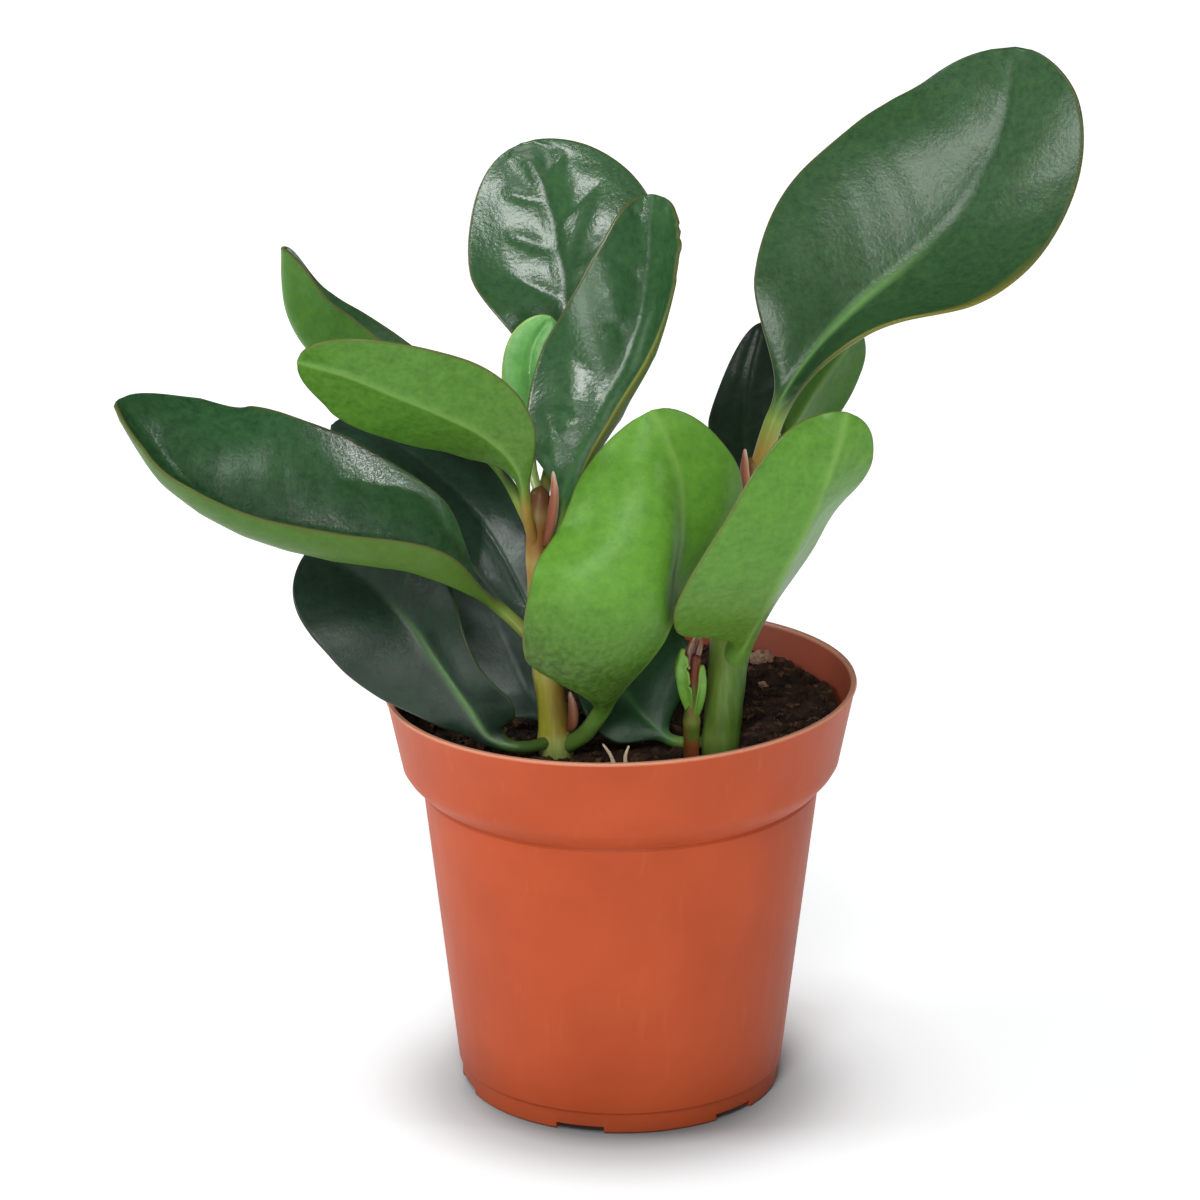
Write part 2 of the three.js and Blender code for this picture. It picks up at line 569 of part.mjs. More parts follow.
for (const [name, shape] of Object.entries(leaves)) {
  const material = name === 'leaf_centre_young' ? materials.youngLeaf : materials.leaf;
  place(name, solidFrom(leaf(shape)).subtract(sockets[shape.on]), material);
}

// Side shoot: one thin stem with its unopened small leaves, grown together.
const bracts = [
  {
    stalk: 0.05, radius: 0.9, width: [2.6, 2.6], thickness: 0.8,
    rib: [[15.9, -33.9, 102], [13, -35, 107], [11.6, -35.6, 113], [13.6, -35.4, 118.5]],
    face: [[0.6, 0.4, 0.7], [0.6, 0.4, 0.7]]
  },
  {
    stalk: 0.05, radius: 0.8, width: [1.8, 1.8], thickness: 0.8,
    rib: [[16.1, -34, 100.5], [18.2, -34.8, 105], [19.1, -35, 110], [18.4, -34.8, 114.5]],
    face: [[-0.7, 0.4, 0.7], [-0.7, 0.4, 0.7]]
  },
  {
    stalk: 0.05, radius: 0.9, width: [2, 2], thickness: 0.9,
    rib: [[15.6, -33.6, 114], [16.2, -33, 117], [17.6, -32.4, 121]],
    face: [[0.3, -0.9, 0.4], [0.3, -0.9, 0.4]]
  }
];
let shootSolid = solidFrom(tube({ ...shoot, sides: 8, steps: 8 }));
for (const bract of bracts) {
  shootSolid = shootSolid.add(solidFrom(leaf({
    fold: [[25, 25], [25, 25]], curl: [[0, 0], [0, 0]],
    widest: [0.5, 0.5], foot: [0.8, 0.8], round: [2, 2], bladeRings: 5, columns: 2, ...bract
  })));
}
place('side_shoot', shootSolid, materials.stem);

export default group;
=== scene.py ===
# A potted peperomia: thin terracotta-coloured nursery pot, potting mix, two stems with fifteen
# thick leaves, three buds and a side shoot. Sizes are in millimetres and turned to metres by mm.
import math

import bpy
import numpy as np
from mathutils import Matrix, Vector, noise


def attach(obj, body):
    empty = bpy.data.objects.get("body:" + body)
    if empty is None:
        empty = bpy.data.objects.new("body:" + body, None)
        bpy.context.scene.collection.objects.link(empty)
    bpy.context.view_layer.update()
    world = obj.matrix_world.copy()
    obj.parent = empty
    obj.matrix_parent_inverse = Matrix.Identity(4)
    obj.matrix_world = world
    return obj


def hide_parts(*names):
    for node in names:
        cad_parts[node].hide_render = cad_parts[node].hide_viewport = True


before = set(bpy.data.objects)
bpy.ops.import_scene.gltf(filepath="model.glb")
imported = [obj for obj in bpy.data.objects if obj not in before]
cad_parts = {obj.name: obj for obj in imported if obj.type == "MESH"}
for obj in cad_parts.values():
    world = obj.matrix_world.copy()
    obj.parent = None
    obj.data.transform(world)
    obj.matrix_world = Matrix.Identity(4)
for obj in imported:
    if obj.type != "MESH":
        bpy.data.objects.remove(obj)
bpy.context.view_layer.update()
bpy.ops.object.select_all(action="DESELECT")
mm = 0.001
print("frame loaded with", len(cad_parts), "nodes")


def toLinear(hexColour):
    # sRGB hex to the linear colour that a shader takes
    shares = [int(hexColour[i:i + 2], 16) / 255 for i in (1, 3, 5)]
    return tuple(c / 12.92 if c <= 0.04045 else ((c + 0.055) / 1.055) ** 2.4 for c in shares) + (1,)


def setInputs(tree, node, inputs):
    # inputs go by name, or in the node's own order, and each is a value, a hex colour, an output,
    # or a node, which gives the output it has switched on
    for name, value in inputs.items() if isinstance(inputs, dict) else enumerate(inputs):
        if isinstance(value, bpy.types.Node):
            value = [output for output in value.outputs if output.enabled][0]
        if isinstance(value, bpy.types.NodeSocket):
            tree.links.new(value, node.inputs[name])
        else:
            node.inputs[name].default_value = toLinear(value) if isinstance(value, str) else value


def addNode(tree, kind, inputs=(), stops=(), **settings):
    # stops are the places and hex colours, or grey values, of a colour ramp
    node = tree.nodes.new("ShaderNode" + kind)
    for name, value in settings.items():
        setattr(node, name, value)
    setInputs(tree, node, inputs)
    for i, (place, colour) in enumerate(stops):
        if i > 1:
            node.color_ramp.elements.new(place)
        node.color_ramp.elements[i].position = place
        node.color_ramp.elements[i].color = (
            toLinear(colour) if isinstance(colour, str) else (colour, colour, colour, 1))
    return node


def scaleOf(size):
    # a texture's scale from the size of its grain in millimetres
    return 1 / (size * mm)


def newMaterial(name):
    material = bpy.data.materials.new(name)
    material.use_nodes = True
    tree = material.node_tree
    return material, tree, tree.nodes["Principled BSDF"], addNode(tree, "TexCoord").outputs["Object"]


def smooth(x, low, high):
    t = np.clip((np.asarray(x, float) - low) / (high - low), 0, 1)
    return t * t * (3 - 2 * t)


def between(values, t):
    # smooth run through evenly spaced stations, t from 0 to 1
    values = np.asarray(values, float)
    place = np.clip(t, 0, 1) * (len(values) - 1)
    i = np.minimum(place.astype(int), len(values) - 2)
    w = (place - i).reshape((-1,) + (1,) * (values.ndim - 1))
    line = np.concatenate([[2 * values[0] - values[1]], values, [2 * values[-1] - values[-2]]])
    a, b, c, d = (line[i + k] for k in range(4))
    u, v = (c - a) / 2, (d - b) / 2
    return (2 * b - 2 * c + u + v) * w ** 3 + (3 * c - 3 * b - 2 * u - v) * w ** 2 + u * w + b


def unit(vectors):
    return vectors / np.linalg.norm(vectors, axis=-1, keepdims=True)


def alongCurve(points, shares):
    # places at shares of the curve's length, and that length
    t = np.linspace(0, 1, 801)
    run = between(points, t)
    reached = np.concatenate([[0], np.cumsum(np.linalg.norm(np.diff(run, axis=0), axis=1))])
    return between(points, np.interp(np.clip(shares, 0, 1) * reached[-1], reached, t)), reached[-1]


def heading(points, shares, reach):
    # the curve's direction, measured over a reach to each side
    return unit(alongCurve(points, np.minimum(shares + reach, 1))[0]
                - alongCurve(points, np.maximum(shares - reach, 0))[0])


def pieceName(node):
    first, *others = node.split("_")
    return first + "".join(word.capitalize() for word in others)


def startEdit():
    bpy.ops.object.mode_set(mode="EDIT")
    bpy.ops.mesh.select_all(action="SELECT")


def endEdit():
    # with all faces pointing outwards
    bpy.ops.mesh.select_all(action="SELECT")
    bpy.ops.mesh.normals_make_consistent(inside=False)
    bpy.ops.object.mode_set(mode="OBJECT")


def wrapRings(name, centre, rings, marks):
    # a grid bent round into a closed skin: each row is a ring whose first and last points meet, and
    # both ends close on a point of the centre line
    ends = [np.broadcast_to(centre[i], rings[:1].shape) for i in (0, -1)]
    rings = np.concatenate([ends[0], rings, ends[1]])
    rows, columns = rings.shape[:2]
    bpy.ops.mesh.primitive_grid_add(x_subdivisions=columns - 1, y_subdivisions=rows - 1, size=1)
    piece = bpy.context.object
    piece.name = name
    piece.data.name = name
    piece.data.vertices.foreach_set("co", (rings * mm).astype(np.float32).ravel())
    for key, values in marks.items():
        mark = piece.data.attributes.new(key, "FLOAT_VECTOR", "POINT")
        values = np.stack([np.broadcast_to(value, rings[1:-1].shape[:2]) for value in values], -1)
        values = np.concatenate([values[:1], values, values[-1:]])
        mark.data.foreach_set("vector", values.astype(np.float32).ravel())
    startEdit()
    bpy.ops.mesh.remove_doubles(threshold=0.001 * mm)
    endEdit()
    bpy.ops.object.shade_smooth()
    return piece


def finishPiece(piece, material, slot, *nodes):
    if material:
        piece.data.materials.clear()
        piece.data.materials.append(material)
    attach(piece, "root")
    if nodes:
        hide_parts(*nodes)
    bpy.ops.object.select_all(action="DESELECT")


# Injection-moulded polypropylene nursery pot: a satin, slightly waxy orange-red with a faint
# mottle of pigment and fine rub marks, darker on the inner wall, with a painted highlight on the lip.
def polypropyleneMaterial():
    material, tree, shader, place = newMaterial("mouldedTerracottaPolypropylene")
    mottle = addNode(tree, "TexNoise", {"Vector": place, "Scale": scaleOf(potLook["mottle"]), "Detail": 4})
    grain = addNode(tree, "TexNoise", {"Vector": place, "Scale": scaleOf(potLook["grain"]), "Detail": 3})
    tall = addNode(tree, "Mapping", {"Vector": place, "Scale": (1, 1, 0.12)})
    rubs = addNode(tree, "TexNoise", {"Vector": tall, "Scale": scaleOf(potLook["rub"]), "Detail": 5})
    rubShare = addNode(tree, "ValToRGB", [rubs], [(0.62, 0), (0.78, 1)])
    faded = addNode(tree, "Math", (rubShare, 0.22), operation="MULTIPLY")
    across, _, height = addNode(tree, "SeparateXYZ", [place]).outputs
    foot = addNode(tree, "MapRange", (height, potLook["dustHeight"] * mm, 0, 0, 0.35))
    # the inner wall is coloured darker: it lies within the middle of the band's thickness
    flat = addNode(tree, "VectorMath", (place, (1, 1, 0)), operation="MULTIPLY")
    reach = addNode(tree, "VectorMath", [flat], operation="LENGTH")
    within = addNode(tree, "Math", (height, -0.21, reach), operation="MULTIPLY_ADD")
    inner = addNode(tree, "MapRange", (within, 33.8 * mm, 33.3 * mm, 0, 0.6))
    high = addNode(tree, "MapRange", (height, 79 * mm, 81 * mm))
    stain = addNode(tree, "Math", (inner, high), operation="MULTIPLY")
    # painted highlight: the lip is painted pale where light catches its rounded edge
    level = addNode(tree, "Math", (across, -pot["skew"], height), operation="MULTIPLY_ADD")
    lip = addNode(tree, "MapRange", (level, 97.2 * mm, 97.8 * mm, 0, 0.6))
    colour = addNode(tree, "ValToRGB", [mottle], [(0.3, potLook["shade"]), (0.7, potLook["colour"])])
    for share, coat in (faded, "rubbed"), (foot, "dust"), (stain, "stain"), (lip, "lip"):
        colour = addNode(tree, "Mix", {0: share, 6: colour, 7: potLook[coat]}, data_type="RGBA")
    gloss = addNode(tree, "MapRange", (rubs, 0, 1, 0.40, 0.58))
    bump = addNode(tree, "Bump", {"Height": grain, "Strength": 0.25, "Distance": 0.06 * mm})
    setInputs(tree, shader, {"Base Color": colour, "Roughness": gloss, "Normal": bump, "IOR": 1.49,
                             "Specular IOR Level": 0.22})
    return material


# the pale lip colour is a painted highlight
potLook = {"colour": "#B54C25", "shade": "#A6431E", "rubbed": "#C66A42", "dust": "#A04E2A",
           "stain": "#7A4438", "lip": "#DCA68A",
           "mottle": 26, "grain": 1.1, "rub": 3, "dustHeight": 7}
pot = {
    "outside": [[0, 0], [20, 0], [21.5, 2], [31.5, 2], [33, 0], [37.0, 0], [37.6, 0.6], [37.6, 5],
                [38.4, 5.6], [46.3, 73.4], [46.0, 74.1], [46.1, 74.8], [47.1, 75], [47.5, 75.3],
                [50, 78], [51.1, 79.8], [51.5, 81.8], [54.6, 96.8], [55, 97.4], [54.8, 98]],
    "inside": [[53.9, 98], [53.5, 97.4], [50.1, 82], [49.4, 79.6], [45.9, 76.4], [45.2, 75],
               [37, 6.2], [36.2, 3.5], [0, 3.5]],
    "segments": 144, "skew": 0.028, "skewStart": 55, "height": 98, "edgeWidth": 0.25,
    "notches": 6, "notchWidth": 11.5, "notchDepth": 9.2, "notchHeight": 1.8, "firstNotch": -14.8,
    "drains": 6, "drainRadius": 3, "drainCircle": 26.5, "drainReach": 7,
}


def lean(x, z):
    # the rim is a little out of true: higher on the right
    return z + pot["skew"] * x * smooth(z, pot["skewStart"], pot["height"])


def buildPot():
    # one side of the wall is drawn point by point, then spun about the pot's axis
    outline = pot["outside"] + pot["inside"]
    bpy.ops.mesh.primitive_plane_add(size=mm, location=(0, 0, 0))
    piece = bpy.context.object
    piece.name = "potShell"
    startEdit()
    bpy.ops.mesh.merge(type="CENTER")
    for (fromRadius, fromHeight), (toRadius, toHeight) in zip(outline, outline[1:]):
        step = ((toRadius - fromRadius) * mm, 0, (toHeight - fromHeight) * mm)
        bpy.ops.mesh.extrude_vertices_move(TRANSFORM_OT_translate={"value": step})
    bpy.ops.mesh.select_all(action="SELECT")
    bpy.ops.mesh.spin(steps=pot["segments"], angle=math.tau, center=(0, 0, 0), axis=(0, 0, 1))
    bpy.ops.mesh.select_all(action="SELECT")
    bpy.ops.mesh.remove_doubles(threshold=0.02 * mm)
    endEdit()
    for vertex in piece.data.vertices:
        vertex.co.z = lean(vertex.co.x / mm, vertex.co.z / mm) * mm
    # notches let water out from under the foot, drains from the floor
    notch = (pot["notchWidth"] * mm, pot["notchDepth"] * mm, 2 * pot["notchHeight"] * mm)
    spots = [(pot["firstNotch"] + 360 / pot["notches"] * i, pot["outside"][6][0], "notch")
             for i in range(pot["notches"])]
    spots += [(360 / pot["drains"] * i, pot["drainCircle"], "drain") for i in range(pot["drains"])]
    cutters = []
    for degrees, radius, kind in spots:
        turn = math.radians(degrees)
        place = (radius * mm * math.sin(turn), -radius * mm * math.cos(turn), 0)
        if kind == "notch":
            bpy.ops.mesh.primitive_cube_add(size=1, location=place, rotation=(0, 0, turn), scale=notch)
        else:
            bpy.ops.mesh.primitive_cylinder_add(vertices=32, radius=pot["drainRadius"] * mm,
                                                depth=2 * pot["drainReach"] * mm, location=place)
        cutters.append(bpy.context.object)
    bpy.context.view_layer.objects.active = piece
    for cutter in cutters:
        cut = piece.modifiers.new("cut", "BOOLEAN")
        cut.object = cutter
        cut.solver = "EXACT"
        bpy.ops.object.modifier_apply(modifier=cut.name)
        bpy.data.objects.remove(cutter)
    edges = piece.modifiers.new("edges", "BEVEL")
    edges.width = pot["edgeWidth"] * mm
    edges.segments = 2
    edges.limit_method = "ANGLE"
    edges.angle_limit = math.radians(28)
    bpy.ops.object.select_all(action="DESELECT")
    piece.select_set(True)
    bpy.ops.object.modifier_apply(modifier=edges.name)
    bpy.ops.object.shade_smooth_by_angle(angle=math.radians(32))
    return piece


finishPiece(buildPot(), polypropyleneMaterial(), "pot", "pot")
print("pot spun")


# Peperomia leaf: thick, watery and waxy. The upper face is dark green under a clear glossy skin that
# is softly quilted between sunken veins; the lower face is lighter and more satin, with a faintly
# raised midrib. A hairline of red-brown runs round the margin, and the stalk turns orange-brown.
def leafMaterial(name, tone):
    material, tree, shader, place = newMaterial(name)
    blade, share, vein = [addNode(tree, "Attribute", attribute_name=mark).outputs["Vector"]
                          for mark in ("bladePlace", "bladeShare", "bladeVein")]
    across = addNode(tree, "SeparateXYZ", [blade]).outputs[0]
    edge, along, upper = addNode(tree, "SeparateXYZ", [share]).outputs
    rib, sideVein, stalk = addNode(tree, "SeparateXYZ", [vein]).outputs
    cloud, blotch, freckle = [
        addNode(tree, "TexNoise", {"Vector": place, "Scale": scaleOf(size), "Detail": detail,
                                   "Roughness": rough})
        for size, detail, rough in (leafPattern[key] for key in ("cloud", "blotch", "freckle"))]
    # bladePlace is in millimetres already
    pores = addNode(tree, "TexNoise", {"Vector": blade, "Scale": 1 / leafPattern["pore"], "Detail": 3})
    above = addNode(tree, "ValToRGB", [blotch], [(0.3, tone["deep"]), (0.7, tone["upper"])])
    below = addNode(tree, "ValToRGB", [blotch], [(0.3, tone["lowerShade"]), (0.7, tone["lower"])])
    # the underside goes olive and darker towards the stalk: partly its own olive tone, partly painted
    # shade where the blade turns down
    footOliveAndShade = addNode(tree, "MapRange", (along, 0.2, 0.5, tone["oliveAndShadeShow"], 0))
    ribDown = addNode(tree, "Math", (rib, 0.42), operation="MULTIPLY")
    for share, coat in (footOliveAndShade, "olive"), (ribDown, "ribLower"):
        below = addNode(tree, "Mix", {0: share, 6: below, 7: tone[coat]}, data_type="RGBA")
    veinUp = addNode(tree, "Math", (sideVein, 0.25), operation="MULTIPLY")
    for share, coat in (veinUp, "veinUpper"), (rib, "ribUpper"):
        above = addNode(tree, "Mix", {0: share, 6: above, 7: tone[coat]}, data_type="RGBA")
    isUpper = addNode(tree, "MapRange", (upper, 0.35, 0.65))
    speckle = addNode(tree, "MapRange", (freckle, 0.3, 0.7, 0, 0.32))
    hairline = addNode(tree, "MapRange", (edge, 0.35, 0.8, tone["marginShow"], 0))
    # a strip of the paler back rolls forward along the right margin
    rolled = addNode(tree, "MapRange", (across, 3, 6, 0, tone["rollShow"]))
    strip = addNode(tree, "MapRange", (edge, 1.6, 3.2, 1, 0))
    stretch = addNode(tree, "ValToRGB", [along], [(0.12, 0), (0.25, 1), (0.5, 1), (0.66, 0)])
    for limit in strip, stretch:
        rolled = addNode(tree, "Math", (rolled, limit), operation="MULTIPLY")
    stalkTone = addNode(tree, "ValToRGB", [stalk], [(0, tone["lower"]), (0.35, tone["stalk"]),
                                                    (1, tone["stalkFoot"])])
    onStalk = addNode(tree, "MapRange", (stalk, 0, 0.35))
    skin = below
    for share, coat in ((isUpper, above), (speckle, tone["speckle"]), (hairline, tone["margin"]),
                        (rolled, tone["roll"]), (onStalk, stalkTone)):
        skin = addNode(tree, "Mix", {0: share, 6: skin, 7: coat}, data_type="RGBA")
    rough = addNode(tree, "MapRange", (cloud, 0, 1, 0.4, 0.56))
    # the clear wax lies thick on the upper face, thin below and in the veins
    wax = addNode(tree, "MapRange", (along, 0.4, 0.6, tone["wax"], tone.get("waxTip", tone["wax"])))
    wax = addNode(tree, "MapRange", (isUpper, 0, 1, tone["waxBelow"], wax))
    inVein = addNode(tree, "MapRange", (sideVein, 0.5, 3, 1, 0.1))
    rubbed = addNode(tree, "MapRange", (across, -2, 0.5, 1, tone["waxRight"]))
    for limit in inVein, rubbed:
        wax = addNode(tree, "Math", (wax, limit), operation="MULTIPLY")
    bump = addNode(tree, "Bump", {"Height": freckle, "Strength": 0.5, "Distance": 0.15 * mm})
    bump = addNode(tree, "Bump", {"Height": pores, "Strength": 0.5, "Distance": 0.1 * mm, "Normal": bump})
    setInputs(tree, shader, {
        "Base Color": skin, "Roughness": rough, "Normal": bump, "IOR": 1.45,
        "Specular IOR Level": tone["shine"],
        "Coat Weight": wax, "Coat Roughness": tone["gloss"], "Coat Normal": bump})
    return material


# sizes in millimetres, for the clouds to the freckles with detail and roughness
leafPattern = {"cloud": (19, 5, 0.5), "blotch": (3.4, 7, 0.7), "freckle": (1.4, 4, 0.5), "pore": 0.8}
grown = {"deep": "#1E4224", "upper": "#325A33", "lowerShade": "#34601A", "lower": "#4A7424",
         "veinUpper": "#213F24", "ribUpper": "#6F9A55", "ribLower": "#86A85A", "speckle": "#46703F",
         "margin": "#5A5430", "marginShow": 0.6, "olive": "#5A6E22", "oliveAndShadeShow": 0.35,
         "roll": "#74702E", "rollShow": 0, "stalk": "#7C9442", "stalkFoot": "#8F7A38",
         "gloss": 0.26, "wax": 0.9, "waxRight": 1, "waxBelow": 0.08, "shine": 0.12}
tones = {
    "grown": grown,
    # a lit copy of the grown tone: the lighter undersides of the leaves that face the light are painted
    # light, and their darker foot is painted shade
    "sunny": {**grown, "lowerShade": "#3E6C1A", "lower": "#548726", "ribLower": "#88AE58",
              "speckle": "#6C9844", "margin": "#5A5A2A", "olive": "#46621A", "oliveAndShadeShow": 0.85,
              "stalk": "#62883A", "stalkFoot": "#5C7C36", "waxBelow": 0.3},
    "young": {**grown, "deep": "#52A046", "upper": "#7CC462", "lowerShade": "#5A9A38",
              "lower": "#78B44C", "veinUpper": "#2F6E2C", "ribUpper": "#8CC46A",
              "ribLower": "#A5CE7C", "speckle": "#79B85C", "margin": "#8FA850", "olive": "#6A9A3A",
              "oliveAndShadeShow": 0.3, "stalk": "#9DBE62", "stalkFoot": "#B2C57A", "waxBelow": 0.4,
              "shine": 0.3},
    # a darker copy of the grown tone for the leaves that lie in shade: painted shade
    "shaded": {**grown, "deep": "#12261A", "upper": "#203C2A", "lowerShade": "#3C6A2E",
               "lower": "#4E7C38", "veinUpper": "#12281B", "ribUpper": "#3C6B38",
               "ribLower": "#7DA458", "speckle": "#2C4A3C", "margin": "#2E3A24", "marginShow": 0.5,
               "olive": "#4A5E22", "oliveAndShadeShow": 0.4, "stalk": "#5F8038", "stalkFoot": "#6F8A40",
               "gloss": 0.36, "wax": 1, "waxBelow": 0.2},
}
leafForm = {
    "ribThickness": 0.75, "edgeThickness": 0.45, "edgeRound": 0.5, "tipHalfWidth": 0.5, "thickness": 1,
    "opening": 0.22, "stalkRings": 16, "bladeRings": 84, "halfColumns": 20, "sink": 1.2, "reach": 0.001,
    "foot": [0.9, 0.9], "curl": [[0, 0], [0, 0]], "lobe": [0, 0], "bulge": [0.6, 0.6],
    "ribGroove": 0.35, "ribWidth": 0.9, "ribSoft": 4.0, "ribShow": [0.15, 0.1, 0.5],
    "ribDark": [0, 0.5, 0.7], "ribDarkWidth": 0.7, "tipFade": 0.93,
    "veinGap": 9.5, "veinDepth": 0.05, "veinWidth": 1.0, "veinSlant": 0.75, "veinArch": 0.008,
    "quilt": 0.08, "quiltReach": 0.75, "sway": 0.25, "swaySize": (17, 21), "creases": [], "valleys": [],
}


def leafRings(shape, seed):
    form = {**leafForm, **shape}
    stalk, opens, radius = form["stalk"], form["opening"], form["radius"]
    blade = np.linspace(0, 1, form["bladeRings"] + 1)
    blade = 0.55 * (1 - np.cos(np.pi * blade)) / 2 + 0.45 * blade
    v = np.concatenate([np.zeros(form["stalkRings"]), blade])
    # the stalk's rounded foot runs on into the stem
    rib = np.array(form["rib"], float)
    rib[0] -= form["sink"] * unit(rib[1] - rib[0])
    if "runDown" in form:
        short = alongCurve(rib, v)[1]
        rib = np.concatenate([form["runDown"], rib[1:]])
        stalk = 1 - (1 - stalk) * short / alongCurve(rib, v)[1]
    station = np.concatenate([np.linspace(0, stalk, form["stalkRings"], endpoint=False),
                              stalk + (1 - stalk) * blade])
    centre, length = alongCurve(rib, station)
    ahead = heading(rib, station, form["reach"])
    up = between(form["face"], v)
    up = unit(up - ahead * (up * ahead).sum(1, keepdims=True))
    side = np.cross(ahead, up)
    folds, curls = (np.radians(between(form[key], v)) for key in ("fold", "curl"))
    # from here on, what runs along the leaf is a column, and what runs across it is a row
    v, station = v[:, None], station[:, None]
    opened = smooth(v, 0, opens)
    y = (station - stalk) * length
    footRound = np.sqrt(1 - 0.98 * (1 - np.clip(station * length / radius, 0, 1)) ** 2)
    columns = form["halfColumns"]
    halves = []
    for which, sign in (0, -1), (1, 1):
        widest, foot, roundness = (form[key][which] for key in ("widest", "foot", "round"))
        beyond = np.clip((v - widest) / (1 - widest), 0, 1)
        grow = np.where(v < widest, np.sin(np.pi / 2 * np.clip(v / widest, 0, 1)) ** foot,
                        np.sqrt(np.clip(1 - beyond ** roundness, 0, 1)))
        width = np.maximum(np.maximum(form["width"][which] * grow, form["tipHalfWidth"]),
                           radius * (1 - v / opens))
        if "nibbled" in form and which == form["nibbled"][0]:
            start, stop, depth, pitch = form["nibbled"][1:]
            bite = np.array([[noise.noise(Vector((s / pitch, 7.3, seed)))] for (s,) in y])
            width = width - depth * smooth(bite, -0.1, 0.35) * smooth(v, start, start + 0.05) * (
                1 - smooth(v, stop - 0.05, stop))
        # columns crowd towards the margin, where the thick edge turns over
        s = 1 - (1 - np.linspace(0, 1, columns + 1)) ** 1.5
        s = np.concatenate([s[:-1], [0.5 * (s[-2] + 1), 1]])
        middle = (s[1:] + s[:-1]) / 2
        across = s * width
        level = (folds[:, 1:] - folds[:, :1]) / 2 * sign
        soft = smooth(middle * width, 0, form["ribSoft"])
        bend = folds[:, which, None] + curls[:, which, None] * middle
        bend = level * (1 - soft) + bend * soft
        step = np.diff(s) * width
        x, z = (np.concatenate([0 * v, np.cumsum(step * turned, 1)], 1)
                for turned in (np.cos(bend), np.sin(bend)))
        slope = np.concatenate([bend[:, :1], (bend[:, 1:] + bend[:, :-1]) / 2, bend[:, -1:]], 1)
        # sunken midrib, side veins that arch to the tip, and the quilting between them
        phase = (y - form["veinSlant"] * across + form["veinArch"] * across ** 2) / form["veinGap"]
        phase = phase + 0.5 * which
        far = np.abs(phase - np.round(phase)) * form["veinGap"]
        share = across / np.maximum(width, 1)
        inner = smooth(share, form["quiltReach"] + 0.25, form["quiltReach"]) * opened
        sideVein = np.exp(-(far / form["veinWidth"]) ** 2) * inner * smooth(across, 0, 3)
        puff = np.sin(np.pi * (phase - np.floor(phase))) * inner * smooth(across, 0, 5)
        ribLine = np.exp(-(across / form["ribWidth"]) ** 2)
        swayWide, swayLong = form["swaySize"]
        swayed = np.array([[noise.noise(Vector((a * sign / swayWide, b / swayLong, seed))) for a in row]
                           for row, (b,) in zip(across, y)])
        pillow = np.sin(np.pi * share) * np.sin(np.pi * v)
        relief = (-form["ribGroove"] * ribLine * (1 - smooth(v, form["tipFade"], 1))
                  - form["veinDepth"] * sideVein
                  + form["quilt"] * (puff - 0.5 * inner) + form["sway"] * swayed
                  + form["bulge"][which] * pillow) * opened
        for crease in form["creases"]:
            if crease["half"] == which:
                off = y - crease["at"] * y[-1] - crease["slant"] * across
                near = (across - crease["middle"]) / crease["span"]
                relief += crease["depth"] * np.exp(-(off / crease["wide"]) ** 2 - near ** 2)
        for valley in form["valleys"]:
            deep = smooth(v, *valley["from"]) * (1 - smooth(v, *valley["to"])) * valley["depth"]
            relief += deep * np.exp(-(across / valley["wide"][which]) ** 2)
        x, z = x - relief * np.sin(slope), z + relief * np.cos(slope)
        rim = np.clip((across - (width - form["edgeRound"])) / form["edgeRound"], 0, 1)
        thick = form["ribThickness"] + (form["edgeThickness"] - form["ribThickness"]) * s
        thick = form["thickness"] * thick * np.sqrt(1 - 0.98 * rim ** 2)
        turn = np.pi / 2 * np.linspace(0, 1, columns + 2)
        # the pale midrib shows above only near the stalk, and all along below; further on it is a
        # dark line above
        shown, fadeFrom, fadeTo = form["ribShow"]
        ribAbove = shown * ribLine * (1 - smooth(v, fadeFrom, fadeTo))
        dark, fadeFrom, fadeTo = form["ribDark"]
        thin = np.exp(-(across / form["ribDarkWidth"]) ** 2) * smooth(v, fadeFrom, fadeTo)
        thin = thin * (1 - smooth(v, 0.9, 0.98))
        for face, ribMark in (1, ribAbove), (-1, ribLine):
            fx = (radius * footRound * np.sin(turn) * (1 - opened)
                  + (x - face * thick * np.sin(slope)) * opened)
            fz = (face * radius * footRound * np.cos(turn) * (1 - opened)
                  + (z + face * thick * np.cos(slope)) * opened)
            pull = -form["lobe"][which] * fx * opened * (1 - v) ** 2
            skin = (centre[:, None] + side[:, None] * (sign * fx)[..., None]
                    + up[:, None] * fz[..., None] + ahead[:, None] * pull[..., None])
            marks = [sign * across, y + 0 * across, width - across, ribMark, sideVein + dark * thin]
            halves.append(np.concatenate([skin, np.stack(marks, -1)], -1))
    left, leftUnder, right, rightUnder = halves
    ring = np.concatenate([left[:, :0:-1], right, rightUnder[:, :0:-1], leftUnder[:, :-1],
                           left[:, -1:]], 1)
    count = columns + 1
    upper = np.concatenate([np.ones(2 * count + 1), np.zeros(2 * count), [1]])
    upper[[0, 2 * count, -1]] = 0.5
    across, y, edge, ribMark, veinMark = np.moveaxis(ring[..., 3:], -1, 0)
    stalkShare = np.clip(1 - station / (stalk + 0.35 * opens * (1 - stalk)), 0, 1)
    return centre, ring[..., :3], {"bladePlace": (across, y, 0), "bladeShare": (edge, v, upper),
                                   "bladeVein": (ribMark, veinMark, stalkShare)}


